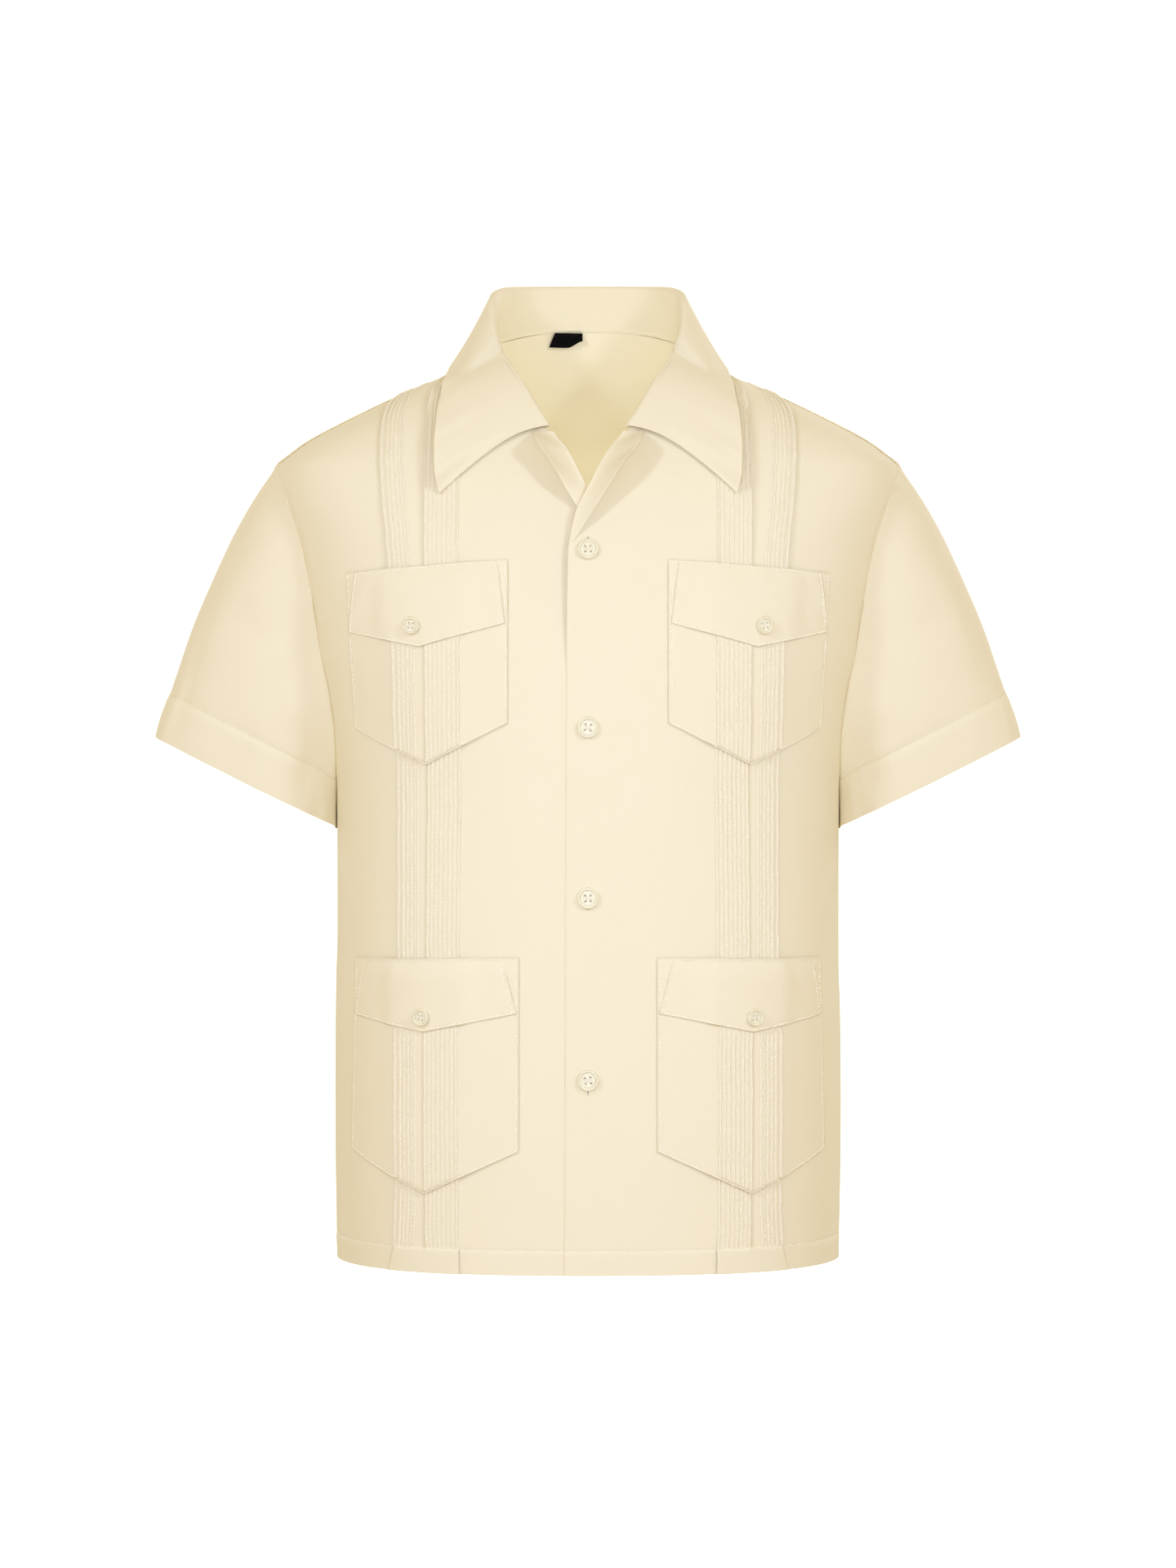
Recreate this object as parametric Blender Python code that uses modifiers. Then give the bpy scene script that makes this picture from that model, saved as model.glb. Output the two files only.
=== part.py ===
"""A short-sleeved guayabera shirt, filled out as if worn, hollow, with no wearer.

Metres, +Z up. The front faces -Y, and left and right are the wearer's: the wearer's left is +X. The origin is on the
centre line between the shoulders, level with the foot of the collar, where a neck and shoulders carry the shirt.

Every piece of cloth is a grid laid on one general form, or a little outside it, and thickened to a wall. A place on
the front is given as its distance across the cloth from the centre line and its height.
"""

import math
from collections import namedtuple
from functools import lru_cache

import bmesh
import bpy
from mathutils import Vector

# ---- Driving dimensions -------------------------------------------------------------------------------------------
WALL = 0.0014
TRIM_WALL = 0.0011
LAYER_GAP = 0.0006
SEAM_GAP = 0.0003
SHOULDER_SEAM_GAP = 0.0012
ARMHOLE_GAP = 0.0014

HEM = -0.723
SIDE_SEAM_TOP = -0.345
ARMPIT = -0.335
SHOULDER_TIP = -0.0905
NECK_POINT = 0.0095
BACK_NECK = 0.030
V_BOTTOM = -0.117

# The form's horizontal outline is |x / half_width| ** ROUNDNESS + |y / depth| ** ROUNDNESS = 1.
ROUNDNESS = 2.4
Section = namedtuple("Section", "height half_width front_depth back_depth")
FORM = (
    Section(-0.7230, 0.2015, 0.1400, 0.1250),
    Section(-0.6000, 0.2018, 0.1410, 0.1220),
    Section(-0.4500, 0.2018, 0.1430, 0.1180),
    Section(-0.3500, 0.2020, 0.1450, 0.1200),
    Section(-0.3200, 0.2052, 0.1455, 0.1210),
    Section(-0.2700, 0.2140, 0.1455, 0.1230),
    Section(-0.2450, 0.2205, 0.1445, 0.1230),
    Section(-0.2000, 0.2295, 0.1390, 0.1220),
    Section(-0.1570, 0.2395, 0.1300, 0.1170),
    Section(-0.1200, 0.2515, 0.1180, 0.1090),
    Section(-0.1050, 0.2540, 0.1120, 0.1040),
    Section(-0.0910, 0.2530, 0.1055, 0.0985),
    Section(-0.0810, 0.2420, 0.1010, 0.0945),
    Section(-0.0720, 0.2300, 0.0965, 0.0900),
    Section(-0.0530, 0.1947, 0.0870, 0.0830),
    Section(-0.0300, 0.1463, 0.0730, 0.0750),
    Section(-0.0165, 0.1150, 0.0620, 0.0720),
    Section(-0.0040, 0.0925, 0.0480, 0.0690),
    Section(0.0120, 0.0765, 0.0300, 0.0660),
    Section(0.0320, 0.0680, 0.0200, 0.0605),
)

# How far in front of (-) or behind (+) the side line each panel's outer edge lies: the side seam, the armhole, and
# above SHOULDER_TIP the shoulder seam, which lies forward of the ridge.
Edge = namedtuple("Edge", "height y")
FRONT_EDGE = (
    Edge(HEM, 0.0),
    Edge(SIDE_SEAM_TOP, 0.0),
    Edge(ARMPIT, -0.026),
    Edge(-0.3180, -0.040),
    Edge(-0.2900, -0.049),
    Edge(-0.2600, -0.053),
    Edge(-0.2000, -0.055),
    Edge(-0.1500, -0.053),
    Edge(-0.1200, -0.047),
    Edge(-0.1040, -0.039),
    Edge(-0.0955, -0.032),
    Edge(SHOULDER_TIP, -0.028),
    Edge(-0.0700, -0.026),
    Edge(-0.0500, -0.022),
    Edge(-0.0300, -0.016),
    Edge(-0.0100, -0.009),
    Edge(NECK_POINT, -0.002),
)
BACK_ARMHOLE = (
    Edge(HEM, 0.0),
    Edge(SIDE_SEAM_TOP, 0.0),
    Edge(ARMPIT, 0.026),
    Edge(-0.3180, 0.038),
    Edge(-0.2900, 0.046),
    Edge(-0.2400, 0.051),
    Edge(-0.1800, 0.052),
    Edge(-0.1350, 0.048),
    Edge(-0.1120, 0.041),
    Edge(-0.0990, 0.030),
    Edge(-0.0945, 0.018),
    Edge(-0.0920, 0.002),
    Edge(-0.0910, -0.012),
    Edge(SHOULDER_TIP, -0.028),
)

# Where the front's inner edge lies from the centre line, measured towards the panel's own side: the free edge below,
# then the roll line of the revers, then the neckline under the collar.
Inner = namedtuple("Inner", "height x")
FRONT_INNER = (
    Inner(HEM, -0.0185),
    Inner(-0.3000, -0.0170),
    Inner(-0.1620, -0.0155),
    Inner(-0.1418, -0.0105),
    Inner(-0.1300, -0.0070),
    Inner(V_BOTTOM, 0.0000),
    Inner(-0.0914, 0.0127),
    Inner(-0.0720, 0.0255),
    Inner(-0.0640, 0.0355),
    Inner(-0.0484, 0.0445),
    Inner(-0.0310, 0.0545),
    Inner(-0.0110, 0.0680),
    Inner(NECK_POINT, 0.0772),
)
BACK_NECKLINE = (
    Inner(NECK_POINT, 0.0785),
    Inner(0.0160, 0.0700),
    Inner(0.0200, 0.0610),
    Inner(0.0235, 0.0500),
    Inner(0.0262, 0.0380),
    Inner(0.0283, 0.0250),
    Inner(BACK_NECK, 0.0120),
)

# The under front passes this far behind the top one, and comes back to the form over the distances given.
UNDERLAP = 0.0050
UNDERLAP_FULL = 0.020
UNDERLAP_OVER = 0.060
UNDERLAP_TOP = -0.080
UNDERLAP_TOP_FULL = -0.112

# Revers: roll line, free edge, and how far the free edge of each side stands off its front.
Revers = namedtuple("Revers", "height roll edge left_stand right_stand")
REVERS = (
    Revers(-0.0690, 0.0275, 0.0430, 0.0070, 0.0070),
    Revers(-0.0850, 0.0168, 0.0402, 0.0110, 0.0110),
    Revers(-0.1024, 0.0075, 0.0278, 0.0110, 0.0100),
    Revers(-0.1171, 0.0002, 0.0175, 0.0090, 0.0050),
    Revers(-0.1240, -0.0037, 0.0125, 0.0080, 0.0010),
    Revers(-0.1340, -0.0080, 0.0055, 0.0060, 0.0000),
    Revers(-0.1480, -0.0122, -0.0045, 0.0030, 0.0000),
    Revers(-0.1570, -0.0143, -0.0110, 0.0010, 0.0000),
)
RIGHT_REVERS_END = -0.134

# Collar stations from the centre back round to the front end, on the left half.
Station = namedtuple("Station", "seam fold middle edge")
COLLAR = (
    Station((0.0000, 0.0570, 0.0275), (0.0000, 0.0655, 0.0664), (0.0000, 0.0800, 0.0420), (0.0000, 0.0870, 0.0170)),
    Station((0.0395, 0.0475, 0.0258), (0.0445, 0.0545, 0.0630), (0.0560, 0.0660, 0.0360), (0.0640, 0.0740, 0.0080)),
    Station((0.0655, 0.0230, 0.0150), (0.0705, 0.0270, 0.0555), (0.0880, 0.0340, 0.0240), (0.1010, 0.0390, -0.0070)),
    Station((0.0718, -0.0020, 0.0075), (0.0768, -0.0030, 0.0465), (0.0975, -0.0040, 0.0130), (0.1150, -0.0050, -0.0135)),
    Station((0.0685, -0.0215, 0.0000), (0.0735, -0.0280, 0.0190), (0.0980, -0.0400, -0.0080), (0.1175, -0.0480, -0.0360)),
    Station((0.0650, -0.0440, -0.0150), (0.0612, -0.0490, -0.0105), (0.0930, -0.0680, -0.0400), (0.1190, -0.0760, -0.0620)),
    Station((0.0560, -0.0670, -0.0350), (0.0490, -0.0712, -0.0310), (0.0870, -0.0850, -0.0570), (0.1187, -0.0930, -0.0830)),
    Station((0.0460, -0.0805, -0.0530), (0.0391, -0.0840, -0.0484), (0.0760, -0.0950, -0.0660), (0.1172, -0.1050, -0.1010)),
    Station((0.0345, -0.0900, -0.0670), (0.0290, -0.0945, -0.0640), (0.0630, -0.0990, -0.0700), (0.1135, -0.1130, -0.1160)),
)
FOLD_RADIUS = 0.0042
FOLD_LIFT = 0.0008
LEAF_LIFT = 0.0068
TUCKED_BEHIND = -0.0048

# Sleeve rings from the armhole to the hem, on the left: the top line, the under line, and half depths.
Ring = namedtuple("Ring", "along top_x top_z under_x under_z front_depth back_depth")
SLEEVE = (
    Ring(0.000, 0.2530, -0.0910, 0.2040, -0.3450, 0.055, 0.052),
    Ring(0.125, 0.2725, -0.1140, 0.2062, -0.3480, 0.056, 0.053),
    Ring(0.280, 0.2880, -0.1470, 0.2070, -0.3525, 0.054, 0.052),
    Ring(0.420, 0.3020, -0.1775, 0.2072, -0.3560, 0.052, 0.050),
    Ring(0.594, 0.3183, -0.2155, 0.2072, -0.3640, 0.049, 0.047),
    Ring(0.814, 0.3350, -0.2640, 0.2065, -0.3730, 0.045, 0.044),
    Ring(0.950, 0.3460, -0.2945, 0.2055, -0.3790, 0.043, 0.041),
    Ring(1.000, 0.3490, -0.3065, 0.2050, -0.3805, 0.042, 0.040),
)
SLEEVE_BLEND = 0.30
ARMHOLE_NORMAL = Vector((0.978, 0.0, -0.208))

# Tucked bands down the fronts: distances across from the centre line at each height.
Band = namedtuple("Band", "height inner outer")
BAND = (
    Band(HEM + 0.001, 0.1010, 0.1600),
    Band(-0.6750, 0.1010, 0.1560),
    Band(-0.4300, 0.0995, 0.1530),
    Band(-0.3400, 0.0985, 0.1530),
    Band(-0.1760, 0.1002, 0.1575),
    Band(-0.1100, 0.1004, 0.1630),
    Band(-0.0560, 0.1004, 0.1660),
)
BAND_TOP_BELOW_SEAM = 0.0070
BAND_TOP_ROWS = 6
BAND_RIDGE_LIFT = 0.0008
# A band's cross-section, from its inner edge (0) to its outer edge (1): two groups of tucks with a channel between.
Step = namedtuple("Step", "place rise")
BAND_PROFILE = (
    Step(0.00, 0.0), Step(0.05, 0.0005), Step(0.30, 0.0005), Step(0.54, 0.0005), Step(0.59, 0.0),
    Step(0.67, 0.0), Step(0.72, 0.0005), Step(0.95, 0.0005), Step(1.00, 0.0),
)

# Patch pockets and their flaps. Distances are across from the centre line; each has an inner and an outer side.
Patch = namedtuple(
    "Patch", "inner_top outer_top inner_low outer_low top_inner top_outer corner_inner corner_outer tip tip_height"
)
POCKETS = {
    "upper": Patch(0.0617, 0.1968, 0.0617, 0.1980, -0.1708, -0.1790, -0.2983, -0.3008, 0.1270, -0.3306),
    "lower": Patch(0.0530, 0.2010, 0.0533, 0.2075, -0.4770, -0.4795, -0.6280, -0.6309, 0.1285, -0.6628),
}
FLAPS = {
    "upper": Patch(0.0700, 0.1880, 0.0638, 0.1960, -0.1712, -0.1786, -0.2220, -0.2265, 0.1310, -0.2397),
    "lower": Patch(0.0660, 0.1905, 0.0545, 0.2003, -0.4788, -0.4812, -0.5218, -0.5257, 0.1285, -0.5372),
}
POCKET_LIFT = 0.0030
POCKET_BAND_LIFT = POCKET_LIFT + TRIM_WALL + LAYER_GAP
FLAP_LIFT = POCKET_BAND_LIFT + TRIM_WALL + 2 * LAYER_GAP

FRONT_BUTTON_HEIGHTS = (-0.1637, -0.3012, -0.4323, -0.5724)
FRONT_BUTTON_RADIUS = 0.0082
FLAP_BUTTON_RADIUS = 0.0066
FLAP_BUTTONS = {"upper": (0.1365, -0.2228), "lower": (0.1294, -0.5251)}
BUTTON_THICKNESS = 0.0026

# Size tab inside the back neck, right of the centre line.
TAB_INNER, TAB_OUTER = -0.0045, -0.0290
TAB_TOP, TAB_LOW = 0.0248, 0.0155
TAB_WALL = 0.0006
TAB_LIFT = -0.0032

CREAM = (0.93, 0.87, 0.74)
BUTTON_CREAM = (0.95, 0.91, 0.80)
BLACK = (0.012, 0.012, 0.012)


# ---- Curves and the form ------------------------------------------------------------------------------------------
def smooth_curve(rows, place, value):
    """A curve through a table's rows that never overshoots them, as a function of the column called place."""
    at = [getattr(row, place) for row in rows]
    to = [getattr(row, value) for row in rows]
    steps = [b - a for a, b in zip(at, at[1:])]
    slopes = [(b - a) / step for a, b, step in zip(to, to[1:], steps)]
    lean = [slopes[0]]
    for (before, after), (slope, next_slope) in zip(zip(steps, steps[1:]), zip(slopes, slopes[1:])):
        if slope * next_slope <= 0:
            lean.append(0.0)
            continue
        first, second = 2 * after + before, after + 2 * before
        lean.append((first + second) / (first / slope + second / next_slope))
    lean.append(slopes[-1])

    def curve(x):
        x = min(max(x, at[0]), at[-1])
        i = max(k for k in range(len(steps)) if at[k] <= x)
        t = (x - at[i]) / steps[i]
        bend = t * (1 - t) * steps[i] * (lean[i] * (1 - t) - lean[i + 1] * t)
        ease = t * t * (3 - 2 * t)
        return to[i] + (to[i + 1] - to[i]) * ease + bend

    return curve


half_width = smooth_curve(FORM, "height", "half_width")
front_depth = smooth_curve(FORM, "height", "front_depth")
back_depth = smooth_curve(FORM, "height", "back_depth")
front_edge_y = smooth_curve(FRONT_EDGE, "height", "y")
back_armhole_y = smooth_curve(BACK_ARMHOLE, "height", "y")
front_inner_x = smooth_curve(FRONT_INNER, "height", "x")
back_neckline_x = smooth_curve(BACK_NECKLINE, "height", "x")


def mix(a, b, t):
    return a + (b - a) * t


def smoothstep(low, high, x):
    t = min(max((x - low) / (high - low), 0.0), 1.0)
    return t * t * (3 - 2 * t)


def outline(height, bearing):
    """The form's point at a height. Bearing 0 is the centre front, 90 degrees the left side, 180 the centre back."""
    side, ahead = math.sin(bearing), math.cos(bearing)
    depth = front_depth(height) if ahead > 0 else back_depth(height)
    pull = (abs(side) / half_width(height)) ** ROUNDNESS + (abs(ahead) / depth) ** ROUNDNESS
    reach = pull ** (-1 / ROUNDNESS)
    return Vector((reach * side, -reach * ahead, height))


def outward(height, bearing):
    step = 1e-4
    across = outline(height, bearing + step) - outline(height, bearing - step)
    upward = outline(height + step, bearing) - outline(height - step, bearing)
    return across.cross(upward).normalized()


def on_form(height, bearing, lift=0.0):
    return outline(height, bearing) + outward(height, bearing) * lift


def front_bearing_at_x(height, x):
    share = min(abs(x) / half_width(height), 1.0)
    ahead = front_depth(height) * (1 - share**ROUNDNESS) ** (1 / ROUNDNESS)
    return math.atan2(x, ahead)


def bearing_at_y(height, y):
    """The bearing on the left half where the form is this far in front of (-) or behind (+) its side line."""
    depth = front_depth(height) if y < 0 else back_depth(height)
    share = min(abs(y) / depth, 1.0)
    side = half_width(height) * (1 - share**ROUNDNESS) ** (1 / ROUNDNESS)
    return math.atan2(side, -y)


@lru_cache(maxsize=None)
def front_arc(height):
    """Distances across the front from the centre line, for evenly spaced bearings up to the side line."""
    bearings = [math.radians(90) * i / 90 for i in range(91)]
    points = [outline(height, bearing) for bearing in bearings]
    lengths = [0.0]
    for a, b in zip(points, points[1:]):
        lengths.append(lengths[-1] + (b - a).length)
    return lengths, bearings


def front_bearing_across(height, across):
    lengths, bearings = front_arc(round(height, 6))
    i = max(k for k in range(len(lengths) - 1) if lengths[k] <= max(across, 0.0))
    t = (across - lengths[i]) / (lengths[i + 1] - lengths[i])
    return mix(bearings[i], bearings[i + 1], t)


def mirrored(point, side):
    return Vector((point.x * side, point.y, point.z))


def lift_of(point):
    """Roughly how far a point is outside the form, and the form's outward direction there."""
    bearing = math.atan2(point.x, -point.y)
    normal = outward(point.z, bearing)
    return (point - outline(point.z, bearing)).dot(normal), normal


def keep_lift(point, least=None, most=None):
    """Moves a point along the form's outward direction until its lift is within the limits."""
    for _ in range(3):
        lift, normal = lift_of(point)
        if least is not None and lift < least:
            point = point + normal * (least - lift)
        if most is not None and lift > most:
            point = point + normal * (most - lift)
    return point


# ---- Making pieces ------------------------------------------------------------------------------------------------
def make_material(name, colour, roughness):
    material = bpy.data.materials.new(name)
    material.use_nodes = True
    shader = material.node_tree.nodes["Principled BSDF"]
    shader.inputs["Base Color"].default_value = (*colour, 1.0)
    shader.inputs["Roughness"].default_value = roughness
    shader.inputs["Metallic"].default_value = 0.0
    return material


def add_object(name, bm, colour, roughness=0.85):
    mesh = bpy.data.meshes.new(name)
    bm.to_mesh(mesh)
    bm.free()
    mesh.shade_smooth()
    mesh.materials.append(make_material(name + "_finish", colour, roughness))
    piece = bpy.data.objects.new(name, mesh)
    shirt.objects.link(piece)
    return piece


def cloth(name, columns, rows, place, wall=WALL, turned=False, colour=CREAM):
    """A grid of cloth. columns are fractions or a count of steps across, and rows the values that place reads along."""
    if isinstance(columns, int):
        columns = [i / columns for i in range(columns + 1)]
    bm = bmesh.new()
    bmesh.ops.create_grid(bm, x_segments=len(columns) - 1, y_segments=len(rows) - 1, size=0.5)
    for vert in bm.verts:
        column = round((vert.co.x + 0.5) * (len(columns) - 1))
        row = round((vert.co.y + 0.5) * (len(rows) - 1))
        vert.co = place(columns[column], rows[row])
    bmesh.ops.remove_doubles(bm, verts=bm.verts, dist=1e-6)
    if turned:
        bmesh.ops.reverse_faces(bm, faces=bm.faces)
    piece = add_object(name, bm, colour)
    thicken = piece.modifiers.new("wall", "SOLIDIFY")
    thicken.thickness = wall
    thicken.offset = -1.0
    return piece


def levels(low, high, count):
    return [mix(low, high, i / count) for i in range(count + 1)]


# ---- Body panels --------------------------------------------------------------------------------------------------
# Heights of the body panels' rows, where they end at the side seam, the armhole and the shoulder seam.
BODY_LEVELS = (
    *(HEM, -0.6600, -0.5970, -0.5340, -0.4710, -0.4080),
    *(SIDE_SEAM_TOP, ARMPIT, -0.3180, -0.2900, -0.2490, -0.2075, -0.1660, -0.1250, -0.1040, -0.0955),
    *(SHOULDER_TIP, -0.0754, -0.0600, -0.0450, -0.0300, -0.0140, 0.0000, 0.0085),
)

# The back's rows dip towards the armhole's top: each row's height at its outer ends and at the centre back.
BackRow = namedtuple("BackRow", "outer centre")
BACK_ROWS = tuple(BackRow(height, height) for height in BODY_LEVELS if height < -0.19) + (
    BackRow(-0.1660, -0.172),
    BackRow(-0.1250, -0.140),
    BackRow(-0.1040, -0.120),
    BackRow(-0.0955, -0.108),
    BackRow(-0.0945, -0.099),
    BackRow(-0.0920, -0.090),
    BackRow(-0.0910, -0.081),
    BackRow(SHOULDER_TIP, -0.072),
    BackRow(-0.0754, -0.058),
    BackRow(-0.0600, -0.046),
    BackRow(-0.0450, -0.034),
    BackRow(-0.0300, -0.022),
    BackRow(-0.0140, -0.009),
    BackRow(0.0000, 0.003),
    BackRow(0.0085, 0.0120),
    BackRow(0.0160, 0.0185),
    BackRow(0.0200, 0.0218),
    BackRow(0.0235, 0.0245),
    BackRow(0.0262, 0.0268),
    BackRow(0.0283, 0.0286),
    BackRow(BACK_NECK, BACK_NECK),
)


def front_lift(side, x, height):
    """The right front passes behind the left one where they overlap. x is measured towards the panel's own side."""
    if side > 0:
        return 0.0
    across_share = 1 - smoothstep(UNDERLAP_FULL, UNDERLAP_OVER, x)
    height_share = 1 - smoothstep(UNDERLAP_TOP_FULL, UNDERLAP_TOP, height)
    return -UNDERLAP * across_share * height_share


def seam_gap(height):
    return SHOULDER_SEAM_GAP if height > SHOULDER_TIP - LAYER_GAP else SEAM_GAP


def make_front(side, name):
    def place(u, height):
        inner = front_bearing_at_x(height, front_inner_x(height))
        outer = bearing_at_y(height, front_edge_y(height) - seam_gap(height) / 2)
        bearing = mix(inner, outer, u)
        x = outline(height, bearing).x
        return mirrored(on_form(height, bearing, front_lift(side, x, height)), side)

    columns = [0.0, 0.07, 0.18, 0.31, 0.45, 0.60, 0.75, 0.89, 0.985, 1.0]
    return cloth(name, columns, BODY_LEVELS, place, turned=side < 0)


def back_outer_bearing(height):
    if height > NECK_POINT:
        share = back_neckline_x(height) / half_width(height)
        behind = back_depth(height) * (1 - share**ROUNDNESS) ** (1 / ROUNDNESS)
        return math.atan2(back_neckline_x(height), -behind)
    edge = front_edge_y(height) if height > SHOULDER_TIP else back_armhole_y(height)
    return bearing_at_y(height, edge + seam_gap(height) / 2)


def make_back():
    centre_height = smooth_curve(BACK_ROWS, "outer", "centre")

    def place(u, outer_height):
        outer = back_outer_bearing(outer_height)
        inward = 1 - abs(2 * u - 1)
        height = mix(outer_height, centre_height(outer_height), inward * (2 - inward))
        return on_form(height, mix(outer, 2 * math.pi - outer, u))

    half = [0.0, 0.008, 0.060, 0.135, 0.22, 0.31, 0.405]
    return cloth("back", half + [0.5] + [1 - u for u in reversed(half)], [row.outer for row in BACK_ROWS], place)


# ---- Sleeves ------------------------------------------------------------------------------------------------------
def armhole_loop():
    """The left armhole's heights, down its front edge and up its back one, each with its bearing on the form."""
    front = [h for h in BODY_LEVELS if SIDE_SEAM_TOP <= h <= SHOULDER_TIP]
    back = [row.outer for row in BACK_ROWS if SIDE_SEAM_TOP < row.outer < SHOULDER_TIP]
    loop = [(h, bearing_at_y(h, front_edge_y(h))) for h in reversed(front)]
    return loop + [(h, bearing_at_y(h, back_armhole_y(h))) for h in back] + loop[:1]


def ring_angle(height, is_back):
    """How far round a sleeve ring the column from this height of the armhole runs: 0 at the top line."""
    angle = math.acos(2 * (height - SIDE_SEAM_TOP) / (SHOULDER_TIP - SIDE_SEAM_TOP) - 1)
    return 2 * math.pi - angle if is_back else angle


def sleeve_ring(along, angle):
    row = Ring(along, *(smooth_curve(SLEEVE, "along", name)(along) for name in Ring._fields[1:]))
    share = 0.5 + 0.5 * math.cos(angle)
    depth = row.front_depth if math.sin(angle) > 0 else row.back_depth
    return Vector(
        (mix(row.under_x, row.top_x, share), -depth * math.sin(angle), mix(row.under_z, row.top_z, share))
    )


def make_sleeve(side, name):
    loop = armhole_loop()

    def place(column, along):
        height, bearing = loop[column]
        start = outline(height, bearing) + ARMHOLE_NORMAL * ARMHOLE_GAP
        end = sleeve_ring(along, ring_angle(height, column > loop.index(min(loop))))
        return mirrored(start.lerp(end, smoothstep(0.0, SLEEVE_BLEND, along)), side)

    alongs = [0.0, 0.05, 0.12, 0.22, 0.40, 0.60, 0.82, 1.0]
    return cloth(name, range(len(loop)), alongs, place, turned=side < 0)


# ---- Collar and revers --------------------------------------------------------------------------------------------
def station_point(name, along):
    """A collar line's point, for along from 0 at the centre back to 1 at the front end."""
    spot = along * (len(COLLAR) - 1)
    i = min(int(spot), len(COLLAR) - 2)
    t = spot - i
    points = [Vector(getattr(COLLAR[k], name)) for k in (max(i - 1, 0), i, i + 1, min(i + 2, len(COLLAR) - 1))]
    if i == 0:
        points[0] = Vector((-points[2].x, points[2].y, points[2].z))
    before, start, end, after = points
    return (
        start
        + (end - before) * (t * (1 - t) ** 2 / 2)
        - (after - start) * (t * t * (1 - t) / 2)
        + (end - start) * (t * t * (3 - 2 * t))
    )


def collar_profile(along, down):
    """Down 0 is the neck seam, 1 the top of the stand, 1 to 2 round the fold, 3 the leaf's edge."""
    seam, fold, middle, edge = (station_point(name, along) for name in Station._fields)
    if fold.y < -0.035:
        seam = keep_lift(seam, most=TUCKED_BEHIND)
        fold = keep_lift(fold, least=FOLD_LIFT, most=FOLD_LIFT)
    upright = (fold - (seam + middle) / 2).normalized()
    leafward = middle - seam
    leafward = (leafward - upright * leafward.dot(upright)).normalized()
    centre = fold - upright * FOLD_RADIUS
    if down <= 1:
        return seam.lerp(centre - leafward * FOLD_RADIUS, down)
    if down <= 2:
        angle = math.pi * (down - 1)
        return centre - leafward * (FOLD_RADIUS * math.cos(angle)) + upright * (FOLD_RADIUS * math.sin(angle))
    top = centre + leafward * FOLD_RADIUS
    t = down - 2
    point = top.lerp(middle, 2 * t) if t < 0.5 else middle.lerp(edge, 2 * t - 1)
    bend = (1 - abs(2 * t - 1)) ** 2
    point = point.lerp(top.lerp(edge, t), 0.35 * bend)
    if point.z < 0.010:
        point = keep_lift(point, least=LEAF_LIFT)
    return point


def make_collar():
    def place(u, down):
        along = abs(2 * u - 1)
        return mirrored(collar_profile(along, down), 1 if u > 0.5 else -1)

    downs = [0.0, 1.0, 1.33, 1.67, 2.0, 2.25, 2.5, 2.75, 3.0]
    return cloth("collar", 24, downs, place, wall=WALL)


def make_revers(side, name):
    roll, edge, left_stand, right_stand = (
        smooth_curve(REVERS[::-1], "height", column) for column in Revers._fields[1:]
    )
    stand = left_stand if side > 0 else right_stand
    end = REVERS[-1].height if side > 0 else RIGHT_REVERS_END

    def place(v, height):
        x = mix(roll(height), edge(height), v)
        lift = front_lift(side, x, height) + WALL + LAYER_GAP + stand(height) * v**1.4
        return mirrored(on_form(height, front_bearing_at_x(height, x), lift), side)

    return cloth(name, 3, levels(end, REVERS[0].height, 7), place, turned=side < 0)


# ---- What lies on the fronts --------------------------------------------------------------------------------------
def on_front(side, across, height, lift):
    bearing = front_bearing_across(height, across)
    x = outline(height, bearing).x
    return mirrored(on_form(height, bearing, lift + front_lift(side, x, height)), side)


def seam_height(across):
    """The height of the shoulder seam straight above a place across the front."""
    low, high = SHOULDER_TIP, NECK_POINT
    for _ in range(30):
        height = (low + high) / 2
        lengths, bearings = front_arc(round(height, 6))
        reach = outline(height, bearing_at_y(height, front_edge_y(height))).x
        x = outline(height, front_bearing_across(height, min(across, lengths[-1]))).x
        low, high = (height, high) if x < reach and across < lengths[-1] else (low, height)
    return low


def make_front_band(side, name):
    inner = smooth_curve(BAND, "height", "inner")
    outer = smooth_curve(BAND, "height", "outer")
    rise = {step.place: step.rise for step in BAND_PROFILE}
    tops = {place: seam_height(mix(BAND[-1].inner, BAND[-1].outer, place)) - BAND_TOP_BELOW_SEAM for place in rise}
    shoulder = BODY_LEVELS[BODY_LEVELS.index(SHOULDER_TIP) - 1]
    rows = [BAND[0].height] + [h for h in BODY_LEVELS if HEM < h <= shoulder]
    rows += [shoulder + share for share in levels(0.0, 1.0, BAND_TOP_ROWS)[1:]]

    def place(u, row):
        height = row if row <= shoulder else mix(shoulder, tops[u], row - shoulder)
        across = mix(inner(height), outer(height), u)
        over_ridge = BAND_RIDGE_LIFT * smoothstep(shoulder, shoulder + 0.02, height)
        return on_front(side, across, height, LAYER_GAP + TRIM_WALL + rise[u] + over_ridge)

    return cloth(name, list(rise), rows, place, wall=TRIM_WALL, turned=side < 0)


def patch_point(patch, u, v):
    """Across and height on a patch: u from its inner to its outer side, v from its low edge to its top."""
    inner = mix(patch.inner_low, patch.inner_top, v)
    outer = mix(patch.outer_low, patch.outer_top, v)
    middle = mix(patch.tip, (patch.inner_top + patch.outer_top) / 2, v)
    if u < 0.5:
        across = mix(inner, middle, 2 * u)
        low = mix(patch.corner_inner, patch.tip_height, 2 * u)
    else:
        across = mix(middle, outer, 2 * u - 1)
        low = mix(patch.tip_height, patch.corner_outer, 2 * u - 1)
    return across, mix(low, mix(patch.top_inner, patch.top_outer, u), v)


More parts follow.
